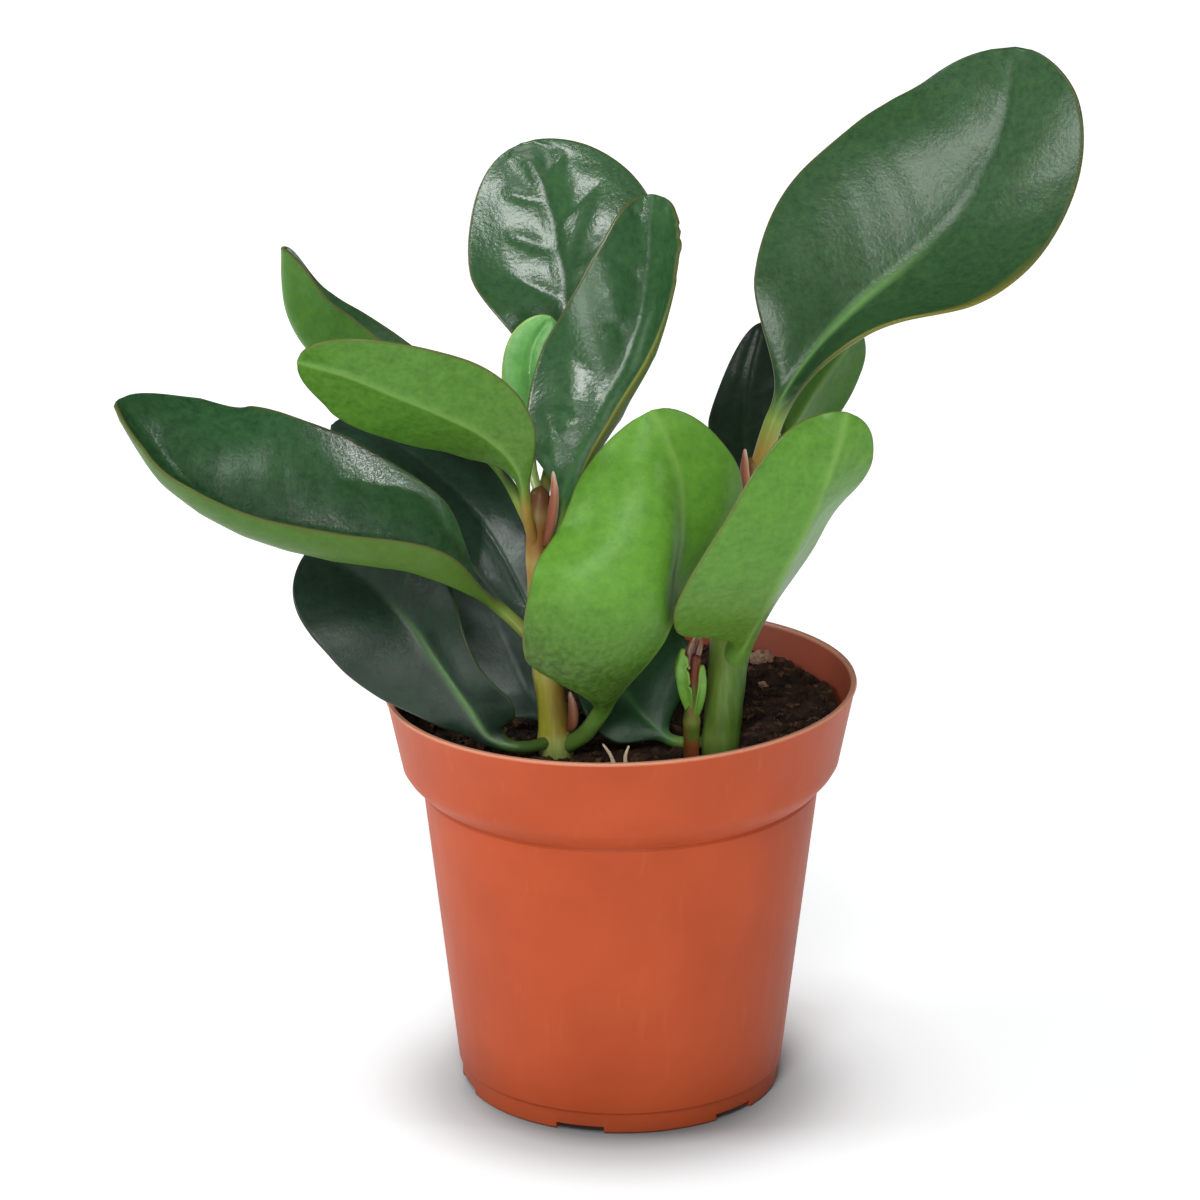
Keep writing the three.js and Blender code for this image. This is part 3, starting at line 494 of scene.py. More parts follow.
# Ribs, widths, folds and curls are those of the measured plant, in millimetres and degrees: a rib
# is points from the stem to the tip, and pairs are the leaf's two sides.
leaves = {
    "leaf_right_big": {
        "stalk": 0.1, "radius": 2.2, "width": [33.5, 29.5], "reach": 0.08,
        "rib": [[31.3, -10.3, 153], [35.5, -9, 166], [43.5, -4, 178.5], [54, 3, 188], [66.5, 9, 197],
                [78, 14, 207.5], [86, 18.5, 220.3], [89.8, 23, 232.6], [90.3, 26, 243.2]],
        "face": [[-0.35, -0.85, 0.4], [-0.35, -0.85, 0.35], [-0.25, -0.95, 0.25]],
        "fold": [[40, 60], [10, 24], [4, 4], [-8, 2]], "curl": [[0, 20], [0, 45], [0, 40], [0, 10]],
        "widest": [0.47, 0.51], "foot": [1.1, 0.9], "round": [2.8, 1.6], "ribShow": [0.9, 0.3, 0.6],
        "ribWidth": 0.7, "quilt": 0.06, "sway": 0.4, "ribDark": [3, 0.55, 0.75], "bulge": [1.6, 0.8],
        "look": {"wax": 0.55, "gloss": 0.3, "rollShow": 0.8, "deep": "#1C3C20", "upper": "#30522D",
                 "stalk": "#86A044", "stalkFoot": "#AE7238"},
    },
    "leaf_right_front": {
        "stalk": 0.06, "radius": 2.8, "width": [17.5, 22.5], "lobe": [0.2, 0.3],
        "rib": [[25.3, -27.5, 115.5], [31.5, -43, 130.5], [36.5, -51, 144], [41.5, -55, 156.5],
                [45.5, -56, 168], [48, -55, 175.5], [49, -54, 179.5]],
        "face": [[0.1, 0.6, 0.8], [0.1, 0.8, 0.5], [0.1, 0.9, 0.3]],
        "fold": [[57, -26], [57, -24], [55, -24], [17, -5]],
        "curl": [[10, 10], [10, 10], [10, 10], [10, 10]], "widest": [0.5, 0.35], "foot": [0.9, 0.85],
        "round": [2.1, 1.9], "runDown": [[24.6, -26, 103], [25.3, -27.4, 113]], "tone": "sunny",
    },
    "leaf_right_back": {
        "stalk": 0.2, "radius": 1.6, "width": [13.5, 12],
        "rib": [[32.3, -7.5, 151], [40.5, 2, 162.5], [46, 10, 168.5], [51, 15, 174], [54.5, 18, 180]],
        "face": [[-0.5, 0.8, 0.4], [-0.5, 0.8, 0.3]], "fold": [[20, 20], [0, 20], [0, 20], [15, 0]],
        "widest": [0.53, 0.55], "round": [2.2, 2.4],
    },
    "leaf_right_dark": {
        "stalk": 0.12, "radius": 1.6, "width": [8.5, 14],
        "rib": [[29.8, -11, 146.5], [29.3, -3, 150.5], [28.5, 7, 156], [29.5, 17, 165.5],
                [33, 25, 178]],
        "face": [[0, -0.5, 0.8], [0, -0.6, 0.8]], "fold": [[10, 10], [0, 10], [-25, 10], [-20, 10]],
        "widest": [0.45, 0.55], "round": [1.3, 2.4], "tone": "shaded",
        "look": {"wax": 0.3, "gloss": 0.3, "upper": "#1C2E1E", "deep": "#111E13", "speckle": "#263828"},
    },
    "leaf_centre_front": {
        "stalk": 0.16, "radius": 2, "width": [21, 38.6], "lobe": [0, 0.1], "reach": 0.25,
        "rib": [[-12.6, -28.8, 92.9], [-8.2, -32.4, 97.2], [-4.4, -36.5, 104], [0.5, -40, 111.5],
                [6.5, -43, 120], [12, -44, 130], [15.5, -44, 142.5], [16, -43, 151.5],
                [14.5, -41, 159.5], [11, -38, 166], [6.5, -34, 174]],
        "face": [[0, 0.6, 0.8], [-0.1, 0.85, 0.5], [-0.1, 0.9, 0.3], [-0.1, 0.9, 0]],
        "fold": [[75, -25], [68, -39], [47, -37], [15, -11]],
        "curl": [[10, 45], [10, 80], [10, 80], [10, 40]], "widest": [0.45, 0.44], "foot": [0.9, 0.5],
        "round": [1.8, 1.6], "bulge": [-0.4, -0.5], "opening": 0.17,
        "valleys": [{"wide": [8, 5], "depth": 4.4, "from": (0.3, 0.55), "to": (0.7, 0.95)}],
        "tone": "sunny",
        # its lighter underside is painted light, and its dark olive foot is painted shade
        "look": {"waxBelow": 0.25, "gloss": 0.36, "olive": "#2E460C", "oliveAndShadeShow": 1,
                 "lower": "#62982F", "lowerShade": "#487C20"},
    },
    "leaf_centre_young": {
        "stalk": 0.3, "radius": 1.1, "width": [6.5, 7.5], "thickness": 0.8,
        "rib": [[-18.4, -22.3, 150], [-20.2, -15.5, 155], [-20.8, -9, 162.5], [-21, -7, 170.5],
                [-20.5, -5, 180], [-16, -4, 187.5]],
        "face": [[0.2, -0.9, 0.3], [0.2, -0.95, 0.3]], "fold": [[15, 15], [10, 15], [10, 10], [5, 0]],
        "widest": [0.51, 0.55], "round": [2.1, 2.4], "tone": "young",
    },
    "leaf_top_round": {
        "stalk": 0.32, "radius": 1.4, "width": [21.9, 24], "reach": 0.3,
        "rib": [[-18.9, -22.8, 145], [-17.3, -16.5, 151], [-14.5, -8, 161], [-12, 2, 175.7],
                [-12, 9, 187.3], [-13.5, 14.5, 197.7], [-16, 20, 208], [-19.5, 24, 215.5],
                [-23, 26, 220.5]],
        "face": [[0.1, -0.9, 0.4], [0, -0.85, 0.5], [0, -0.85, 0.5]],
        "fold": [[15, 15], [16, 12], [5, 12], [0, 12]], "curl": [[-10, -10], [-10, -10]],
        "widest": [0.55, 0.52], "foot": [1.15, 0.9], "round": [2, 1.8], "quilt": 0.5, "veinDepth": 0.25,
        "veinGap": 12, "ribGroove": 0.5, "ribWidth": 2, "sway": 0.9, "bulge": [-1.4, 1.1],
        "quiltReach": 0.4, "ribShow": [0, 0.1, 0.5], "ribDark": [3, 0, 0.05],
        "look": {"wax": 0.9, "gloss": 0.22},
    },
    "leaf_top_tall": {
        "stalk": 0.2, "radius": 2.1, "width": [19.5, 16.6], "lobe": [0.4, 0],
        "rib": [[-18.2, -25, 128], [-15.3, -24, 138.5], [-12.9, -22, 149.5], [-9.5, -20, 159.5],
                [-4, -16.5, 169], [1.9, -11.5, 179.3], [5, -7, 189.3], [6.3, -3, 199.7],
                [6.6, 0, 208.5], [7.3, 1.5, 214.6]],
        "face": [[-0.4, -0.85, 0.3], [-0.4, -0.9, 0.4], [-0.3, -0.9, 0.4]],
        "fold": [[21, 31], [12, 15], [36, 23], [65, 34]],
        "curl": [[-5, 70], [-5, 90], [-5, 60], [0, 0]], "widest": [0.48, 0.5], "foot": [0.86, 0.87],
        "round": [1.4, 2.1], "quilt": 0.35, "veinDepth": 0.15, "veinGap": 14, "quiltReach": 0.5,
        "sway": 0.7, "nibbled": [1, 0.72, 0.97, 0.9, 1.8], "bulge": [1.9, 0.6], "ribGroove": 0.08,
        "ribSoft": 6,
        "creases": [{"half": 0, "at": 0.3, "slant": -0.1, "depth": -0.9, "wide": 1.6,
                     "middle": 8, "span": 3.5}],
        "look": {"wax": 1, "gloss": 0.22, "roll": "#8A8A3C", "rollShow": 0.4, "waxRight": 0.05},
    },
    "leaf_left_upper": {
        "stalk": 0.2, "radius": 1.3, "width": [15, 16.5],
        "rib": [[-19.3, -24.6, 138.5], [-21.3, -28.4, 148], [-22.9, -31, 159.5], [-30.5, -34, 168.5],
                [-40.5, -38, 175], [-50, -41, 180], [-61, -42, 185], [-71.5, -41, 187.5]],
        "face": [[0.3, 0.6, 0.8], [0.15, 0.75, 0.65], [0, 0.85, 0.5]],
        "fold": [[21, 7], [29, -7], [10, -7], [-14, -9]], "curl": [[10, 10], [10, 10]],
        "widest": [0.51, 0.54], "foot": [0.85, 0.5], "round": [2.1, 2.4], "tone": "sunny",
        "look": {"stalk": "#94803A", "stalkFoot": "#98602C", "lower": "#4E7F24",
                 "lowerShade": "#386418", "oliveAndShadeShow": 0.5},
    },
    "leaf_left_top": {
        "stalk": 0.12, "radius": 1.3, "width": [15, 17],
        "rib": [[-19, -23.6, 140], [-27, -12, 152.5], [-39, -4, 161], [-55.5, 2, 166.5],
                [-68.5, 6, 174.5], [-75.5, 8, 185], [-77, 8, 200.5]],
        "face": [[0.3, 0.3, 0.9], [0.4, 0.2, 0.9], [0.9, 0.2, 0.4]],
        "fold": [[70, 60], [63, 59], [70, 70], [35, 30]], "widest": [0.59, 0.59], "round": [2.5, 2.5],
    },
    "leaf_left_long": {
        "stalk": 0.12, "radius": 1.5, "width": [24, 26],
        "rib": [[-17.6, -25.2, 114.5], [-26.5, -26, 124], [-34, -29, 130.5], [-47.5, -31, 137.5],
                [-65.5, -33, 142.5], [-82, -34, 148], [-96.5, -33, 156.5], [-105.5, -31, 166],
                [-112.5, -29, 175]],
        "face": [[-0.2, -0.1, 0.95], [0, -0.1, 0.95], [0.3, -0.1, 0.95]],
        "fold": [[35, 39], [-14, 52], [-17, 52], [5, 11]],
        "curl": [[50, 0], [100, 0], [90, 0], [30, 0]], "widest": [0.53, 0.54], "foot": [0.75, 0.75],
        "round": [2.4, 2.6], "bulge": [1, 2],
        "look": {"wax": 1, "waxTip": 0.2, "gloss": 0.26, "upper": "#2C5430", "deep": "#183820",
                 "lower": "#4C6E22", "lowerShade": "#3E5E1A"},
    },
    "leaf_left_shaded": {
        "stalk": 0.08, "radius": 1.5, "width": [11, 13],
        "rib": [[-16.9, -25.4, 109.5], [-19.5, -15.5, 117], [-26.5, -9, 131], [-34.5, -4, 141],
                [-46.5, 2, 150.5], [-57, 6, 156], [-67, 9, 157.5]],
        "face": [[0.2, -0.6, 0.8], [0, -0.6, 0.8]], "fold": [[15, 15], [15, 20], [10, -15], [0, -20]],
        "widest": [0.55, 0.51], "round": [2.4, 2], "tone": "shaded",
    },
    "leaf_low_left": {
        "stalk": 0.14, "radius": 1.4, "width": [19.5, 14], "lobe": [0.1, 0.6],
        "rib": [[-15.4, -28.3, 94.2], [-22, -33.5, 94.2], [-29.5, -33, 96], [-34.5, -31, 103],
                [-42, -28, 113.5], [-49, -23, 121.5], [-58.5, -17, 128.5], [-71.5, -11, 134.5]],
        "face": [[-0.1, -0.8, 0.6], [-0.3, -0.8, 0.5]],
        "fold": [[-27, -8], [-14, 62], [18, 12], [25, 0]], "curl": [[5, 0], [5, 0]],
        "widest": [0.66, 0.52], "foot": [1.2, 0.35], "round": [3, 2.4], "ribShow": [0.6, 0.2, 0.8],
        "bulge": [1.5, 1],
        "look": {"wax": 0.5, "gloss": 0.42, "upper": "#1E3224", "deep": "#132018",
                 "speckle": "#263C2C", "margin": "#2A3020", "stalk": "#3E5A26",
                 "stalkFoot": "#4E6A2A"},
    },
    "leaf_low_inner": {
        "stalk": 0.1, "radius": 1.4, "width": [16, 13],
        "rib": [[-15.4, -25.8, 94.8], [-18, -19, 97], [-21.5, -12, 100.5], [-25.5, -7, 108.5],
                [-30, -1, 117.5], [-34, 4, 127]],
        "face": [[-0.1, -0.9, 0.5], [-0.1, -0.9, 0.4]], "fold": [[10, 10], [10, 10]],
        "widest": [0.53, 0.55], "round": [2.3, 2.4], "tone": "shaded",
        # its paler grey upper face is a painted sheen
        "look": {"wax": 1, "gloss": 0.5, "upper": "#33453C", "deep": "#1C2A24"},
    },
    "leaf_low_centre": {
        "stalk": 0.24, "radius": 1.4, "width": [11, 18],
        "rib": [[20.6, -28.4, 93.6], [15.5, -29, 93.6], [10.8, -29, 94.6], [5.4, -27, 99],
                [0.6, -23, 104.5], [-4, -18, 112.5], [-7, -14, 119]],
        "face": [[0, -0.8, 0.6], [0, -0.9, 0.4]], "fold": [[2, -5], [6, 12], [18, 11], [0, 0]],
        "widest": [0.4, 0.53], "foot": [0.7, 0.4], "round": [2.3, 2.4], "ribShow": [0.8, 0.3, 0.9],
        "tone": "shaded",
        "look": {"wax": 0.35, "deep": "#15301A", "upper": "#234A26", "speckle": "#2A4A2E"},
    },
}
tissues = {}
for i, (node, leaf) in enumerate(leaves.items()):
    piece = wrapRings(pieceName(node), *leafRings(leaf, 3.7 * i + 1))
    tone = leaf.get("tone", "grown")
    tissue = piece.name + "Tissue" if "look" in leaf else tone + "LeafTissue"
    if tissue not in tissues:
        tissues[tissue] = leafMaterial(tissue, {**tones[tone], **leaf.get("look", {})})
    finishPiece(piece, tissues[tissue], "young_leaf" if tone == "young" else "leaf", node)
print("leaves grown")


# Stem tissue: smooth, juicy and satin, streaked lengthwise, going from green to red-brown, with
# pale scars where leaves leave it.
def stemMaterial(name, tone):
    material, tree, shader, place = newMaterial(name)
    run = addNode(tree, "Attribute", attribute_name="stemRun").outputs["Vector"]
    share, turned, swell = addNode(tree, "SeparateXYZ", [run]).outputs
    drawn = addNode(tree, "Mapping", {"Vector": place, "Scale": (1, 1, stemPattern["stretch"])})
    streak = addNode(tree, "TexNoise", {"Vector": drawn, "Scale": scaleOf(stemPattern["streak"]),
                                        "Detail": 4})
    fleck = addNode(tree, "TexNoise", {"Vector": place, "Scale": scaleOf(stemPattern["fleck"]),
                                       "Detail": 3})
    skin = addNode(tree, "ValToRGB", [share], tone["bright"])
    brown = addNode(tree, "ValToRGB", [share], tone["dark"])
    toSide = addNode(tree, "MapRange", (turned, -0.5, 0.7))
    lines = addNode(tree, "MapRange", (streak, 0.4, 0.75, 0, 0.45))
    scar = addNode(tree, "Math", (swell, tone["scarShow"]), operation="MULTIPLY")
    for part, coat in (toSide, brown), (lines, tone["streak"]), (scar, tone["scar"]):
        skin = addNode(tree, "Mix", {0: part, 6: skin, 7: coat}, data_type="RGBA")
    rough = addNode(tree, "MapRange", (fleck, 0, 1, 0.32, 0.5))
    bump = addNode(tree, "Bump", {"Height": streak, "Strength": 0.4, "Distance": 0.15 * mm})
    setInputs(tree, shader, {"Base Color": skin, "Roughness": rough, "Normal": bump,
                             "Specular IOR Level": 0.25})
    return material


stemPattern = {"streak": 1.3, "stretch": 0.15, "fleck": 1}


def tubeRings(stem):
    # a round run along a curve, swollen at its nodes
    steps, sides, points = stem.get("steps", 60), stem.get("sides", 28), stem["points"]
    shares = np.linspace(0, 1, steps + 1)
    centre, length = alongCurve(points, shares)
    ahead = heading(points, shares, 0.001)
    side = unit(np.cross([0, -1, 0], ahead))
    front = np.cross(side, ahead)
    radius = between(stem["radii"], shares)
    swell = np.zeros(steps + 1)
    for at, wide, height in stem.get("nodes", []):
        ring = np.exp(-((shares - at) * length / wide) ** 2)
        swell = np.maximum(swell, ring)
        radius = radius + height * ring
    # the top is rounded off
    top = np.clip((shares - 1) * length / radius[-1] + 1, 0, 1)
    radius = radius * np.sqrt(1 - 0.99 * top ** 2)
    angle = math.tau * np.arange(sides + 1) / sides
    rough = np.array([[noise.noise(Vector((math.cos(a) * 1.2, math.sin(a) * 1.2, s * length / 6)))
                       for a in angle] for s in shares])
    radial = radius[:, None] * (1 + stem.get("uneven", 0.05) * rough)
    rings = (centre[:, None] + side[:, None] * (radial * np.cos(angle))[..., None]
             - front[:, None] * (radial * np.sin(angle))[..., None])
    turned = np.cos(angle - stem.get("darkSide", 0))
    return centre, rings, {"stemRun": (shares[:, None], turned, swell[:, None])}


stems = {
    "stem_left": {
        "points": [[-14.9, -27.5, 84.3], [-14.9, -27.5, 91.8], [-15.6, -27, 100.5], [-16.8, -26.4, 110],
                   [-18.3, -25.5, 127], [-19, -24, 143], [-18.2, -22.5, 153]],
        "radii": [3.7, 4, 3.4, 3.3, 3.1, 2.9, 2.7, 2.6, 2.2], "darkSide": 3.1,
        "nodes": [(0.14, 1.8, 0.25), (0.37, 2, 0.2), (0.47, 2, 0.2), (0.75, 2.2, 0.2), (0.9, 2, 0.2)],
        "bright": [(0, "#7E9A40"), (0.12, "#A8C062"), (0.17, "#AAA838"), (0.5, "#AEA232"),
                   (0.72, "#98702A"), (0.88, "#8E5E2C"), (1, "#5C3A20")],
        "dark": [(0, "#6F8A40"), (0.12, "#94A254"), (0.17, "#8E7A30"), (0.5, "#8A6628"),
                 (0.85, "#764620"), (1, "#4A2C1A")],
        "streak": "#66502A", "scar": "#B8C484", "scarShow": 0.2,
    },
    "stem_right": {
        "points": [[22.5, -29, 84.3], [22.5, -29, 92], [24, -27, 108], [25.5, -24, 120],
                   [28, -17, 138.5], [31.3, -8.5, 156]],
        "radii": [4.1, 4.3, 4.4, 4.8, 4, 3.6, 2.4], "darkSide": 0.3,
        "nodes": [(0.13, 2.2, 0.2), (0.42, 2.5, 0.3), (0.84, 2.2, 0.3)],
        "bright": [(0, "#365616"), (0.5, "#3C5E1E"), (0.8, "#62702A"), (1, "#8E6634")],
        "dark": [(0, "#4E6826"), (0.5, "#5A7029"), (0.8, "#66642C"), (1, "#7A4A28")],
        "streak": "#6E8A3E", "scar": "#86A254", "scarShow": 0.25,
    },
}
for node, stem in stems.items():
    piece = wrapRings(pieceName(node), *tubeRings(stem))
    finishPiece(piece, stemMaterial(piece.name + "Tissue", stem), "stem", node)
print("stems grown")

# Bud sheath: papery, satin, salmon with a browner back and a pale tip.
budSheath = {
    "radii": [1, 1.25, 1.2, 0.9, 0.3], "steps": 30, "sides": 20, "uneven": 0.14, "darkSide": 0.4,
    "bright": [(0, "#8A5A34"), (0.3, "#B4785A"), (0.7, "#C08A70"), (0.9, "#E0C0A8"), (1, "#EAD4C0")],
    "dark": [(0, "#5E3420"), (0.4, "#8A4A34"), (0.85, "#98604A"), (1, "#C09880")],
    "streak": "#A06A48", "scar": "#E4C4A4", "scarShow": 0,
}
buds = {
    "bud_left_top": [[-17.3, -26, 140], [-15.9, -26.8, 145.5], [-15.2, -26.8, 150],
                     [-15.1, -26.6, 153.5], [-15.4, -26, 157.6]],
    "bud_left_base": [[-11.9, -28.9, 97], [-11.1, -31, 99.5], [-11, -31.6, 103], [-11.7, -31.2, 106.8]],
    "bud_right": [[29.6, -14, 147], [28.2, -16.3, 150.5], [28, -16, 154.5], [28, -15, 159.5]],
}
sheathTissue = stemMaterial("paperyBudSheath", budSheath)
for node, points in buds.items():
    piece = wrapRings(pieceName(node), *tubeRings({**budSheath, "points": points}))
    finishPiece(piece, sheathTissue, "bud", node)
print("buds set")

# The side shoot: a thin red-brown stem, small green leaves still closed round it, and a dark red tip.
shootTone = {**tones["young"], "upper": "#46802A", "deep": "#2E5A1C", "lower": "#6C9A34",
             "lowerShade": "#4A7A24", "speckle": "#4E7C2C", "margin": "#6E8E3A", "ribUpper": "#4E8A30",
             "ribLower": "#5E8E30"}
shootTipTone = {**shootTone, "upper": "#5A2A1C", "deep": "#3C1814", "lower": "#6A3422",
                "lowerShade": "#4A2018", "speckle": "#7A4A30", "margin": "#8A5A38"}
sideShoot = {
    "stem": {"points": [[15.9, -34, 84.3], [15.9, -34, 93], [16, -34, 104], [16.8, -33.5, 117]],
             "radii": [1.7, 1.8, 1.8, 1.6, 1.2], "steps": 40, "sides": 18, "nodes": [(0.5, 1.2, 0.25)],
             "bright": [(0, "#7A3A22"), (0.34, "#8A4526"), (0.4, "#4E6A22"), (0.72, "#466420"),
                        (0.8, "#6A3020"), (1, "#4E2018")],
             "dark": [(0, "#5A2818"), (0.34, "#5F3A1C"), (0.42, "#34501A"), (0.72, "#34501A"),
                      (0.82, "#4E2018"), (1, "#3E1A14")],
             "streak": "#9A5A34", "scar": "#8AA050", "scarShow": 0.2},
    "leaves": [
        {"radius": 0.9, "width": [3.1, 3.1], "nibbled": [0, 0.3, 1, 0.7, 0.9],
         "rib": [[15.9, -33.9, 102], [13.8, -35.2, 107], [12.8, -35.9, 113], [13.9, -35.5, 118.5]],
         "face": [[0.6, 0.4, 0.7], [0.6, 0.4, 0.7]]},
        {"radius": 0.8, "width": [1.8, 1.8],
         "rib": [[16.1, -34, 100.5], [17.8, -35, 105], [18.5, -35.2, 110], [18, -35, 114.5]],
         "face": [[-0.7, 0.4, 0.7], [-0.7, 0.4, 0.7]]},
        {"radius": 0.9, "width": [2, 2],
         "rib": [[15.6, -33.6, 114], [16.2, -33, 117], [17.6, -32.4, 121]],
         "face": [[0.3, -0.9, 0.4], [0.3, -0.9, 0.4]]},
    ],
    "leafForm": {"stalk": 0.05, "fold": [[25, 25], [25, 25]], "widest": [0.5, 0.5], "foot": [0.8, 0.8],
                 "round": [2, 2], "thickness": 0.8, "sway": 0.2, "ribSoft": 0.8, "ribGroove": 0.15,
                 "veinGap": 3, "edgeRound": 0.3, "stalkRings": 6, "bladeRings": 36, "halfColumns": 10,
                 "tipHalfWidth": 0.3},
}


def buildShoot():
    whole = wrapRings("sideShoot", *tubeRings(sideShoot["stem"]))
    whole.data.materials.append(stemMaterial("shootStemTissue", sideShoot["stem"]))
    bract = leafMaterial("shootLeafTissue", shootTone)
    redBract = leafMaterial("shootTipTissue", shootTipTone)
    parts = [whole]
    for i, leaf in enumerate(sideShoot["leaves"]):
        part = wrapRings("shootLeaf", *leafRings({**sideShoot["leafForm"], **leaf}, 40.5 + i))
        part.data.materials.append(redBract if i == 2 else bract)
        parts.append(part)
    bpy.ops.object.select_all(action="DESELECT")
    for part in parts:
        part.select_set(True)
    bpy.context.view_layer.objects.active = whole
    bpy.ops.object.join()
    finishPiece(whole, None, "stem", "side_shoot")


buildShoot()
print("side shoot grown")


# Potting mix: moist peat and bark crumbs from dust to 4 mm, nearly black between them, with some
# tan fibres and white perlite.
def soilMaterial():
    material, tree, shader, place = newMaterial("moistPottingMix")
    clump = addNode(tree, "TexNoise", {"Vector": place, "Scale": scaleOf(soilLook["clump"]), "Detail": 6})
    crumb = addNode(tree, "TexVoronoi", {"Vector": place, "Scale": scaleOf(soilLook["barkBit"])})
    dust = addNode(tree, "TexNoise", {"Vector": place, "Scale": scaleOf(soilLook["dust"]), "Detail": 3})
    peat = addNode(tree, "ValToRGB", [clump], [(0.32, soilLook["dark"]), (0.55, soilLook["body"]),
                                               (0.75, soilLook["light"])])
    each = addNode(tree, "SeparateColor", [crumb.outputs["Color"]])
    bark = addNode(tree, "MapRange", (each, 0.82, 0.95, 0, 0.55))
    colour = addNode(tree, "Mix", {0: bark, 6: peat, 7: soilLook["bark"]}, data_type="RGBA")
    rough = addNode(tree, "MapRange", (dust, 0, 1, 0.75, 1))
    bump = addNode(tree, "Bump", {"Height": dust, "Strength": 0.9, "Distance": 0.5 * mm})
    setInputs(tree, shader, {"Base Color": colour, "Roughness": rough, "Normal": bump,
                             "Specular IOR Level": 0.25})
    return material


soilLook = {"dark": "#160D08", "body": "#301F14", "light": "#4A3322", "bark": "#6E5038",
            "clump": 6, "barkBit": 1.6, "dust": 0.7}
soil = {
    "level": 91.3, "topRadius": 50.3, "gridCells": 230,
    "skirt": [(50.0, 89.5), (49.6, 82), (45.2, 77), (44.4, 74), (36.3, 6.2), (35.5, 4.2)],
    "holes": [(-14.9, -27.5, 4.4), (22.5, -29, 4.7), (15.9, -34, 2.2)], "holeBottom": 84,
    "crumbs": 1500, "crumbSize": (0.35, 1.5), "rimGap": 0.6, "seed": 11,
    # size in mm across, height, and where along the noise, for the lumps and the dust
    "roughness": [(11, 0.9, 2), (3.6, 0.9, 5), (1.3, 0.55, 9)],
}


def soilHeight(x, y):
    lumps = sum(height * noise.noise(Vector((x / size, y / size, slot)))
                for size, height, slot in soil["roughness"])
    return lean(x, soil["level"] + lumps)


def buildSoil():
    # a square grid drawn into a disc, then its rim run down inside the pot and closed
    cells = soil["gridCells"]
    bpy.ops.mesh.primitive_grid_add(x_subdivisions=cells, y_subdivisions=cells, size=2)
    piece = bpy.context.object
    piece.name = "pottingMix"
    radius = soil["topRadius"]
    for vertex in piece.data.vertices:
        a, b = vertex.co.x, vertex.co.y
        x = a * math.sqrt(1 - b * b / 2) * radius
        y = b * math.sqrt(1 - a * a / 2) * radius
        z = soilHeight(x, y)
        for holeX, holeY, holeRadius in soil["holes"]:
            if math.hypot(x - holeX, y - holeY) < holeRadius:
                z = soil["holeBottom"]
        vertex.co = (x * mm, y * mm, z * mm)
    startEdit()
    bpy.ops.mesh.region_to_loop()
    for skirtRadius, height in soil["skirt"]:
        bpy.ops.mesh.extrude_edges_move()
        bpy.ops.transform.resize(value=(skirtRadius / radius, skirtRadius / radius, 1))
        bpy.ops.object.mode_set(mode="OBJECT")
        for vertex in piece.data.vertices:
            if vertex.select:
                vertex.co.z = lean(vertex.co.x / mm, height) * mm
        bpy.ops.object.mode_set(mode="EDIT")
        radius = skirtRadius
    bpy.ops.mesh.edge_face_add()
    endEdit()
    bpy.ops.object.shade_smooth_by_angle(angle=math.radians(50))
    return piece


def scatterCrumbs():
    # one lump, copied with its own size, squash and turn
    bpy.ops.mesh.primitive_ico_sphere_add(subdivisions=1, radius=1)
    lump = bpy.context.object
    corners = np.array([v.co for v in lump.data.vertices])
    faces = np.array([f.vertices[:] for f in lump.data.polygons])
    bpy.data.objects.remove(lump)
    draw = np.random.default_rng(soil["seed"])
    small, large = soil["crumbSize"]
    places, sides = [], []
    while len(places) < soil["crumbs"]:
        x, y = draw.uniform(-1, 1, 2) * soil["topRadius"]
        size = small + (large - small) * draw.random() ** 3
        clear = all(math.hypot(x - hx, y - hy) > hr + size for hx, hy, hr in soil["holes"])
        if clear and math.hypot(x, y) < soil["topRadius"] - size - soil["rimGap"]:
            turn = np.linalg.qr(draw.normal(size=(3, 3)))[0]
            body = corners * draw.uniform(0.7, 1.3, (len(corners), 1)) * draw.uniform(0.5, 1.2, 3) * size
            places.append((body @ turn) + [x, y, soilHeight(x, y) + 0.25 * size])
            sides.append(faces + len(corners) * (len(places) - 1))
    mesh = bpy.data.meshes.new("soilCrumbs")
    mesh.from_pydata((np.concatenate(places) * mm).tolist(), [], np.concatenate(sides).tolist())
    piece = bpy.data.objects.new("soilCrumbs", mesh)
    bpy.context.scene.collection.objects.link(piece)
    return piece


mix = soilMaterial()
finishPiece(buildSoil(), mix, "soil", "soil")
finishPiece(scatterCrumbs(), mix, "soil")
print("potting mix filled")


# Perlite: expanded volcanic glass, rough and matt, off-white and stained by the mix. Root tips: firm
# young root skin, cream and matt.
def paleMaterial(name, light, shade, grain):
    material, tree, shader, place = newMaterial(name)
    pits = addNode(tree, "TexNoise", {"Vector": place, "Scale": scaleOf(grain), "Detail": 5})
    colour = addNode(tree, "ValToRGB", [pits], [(0.35, shade), (0.6, light)])
    bump = addNode(tree, "Bump", {"Height": pits, "Strength": 0.7, "Distance": 0.3 * mm})
    setInputs(tree, shader, {"Base Color": colour, "Roughness": 0.85, "Normal": bump})
    return material


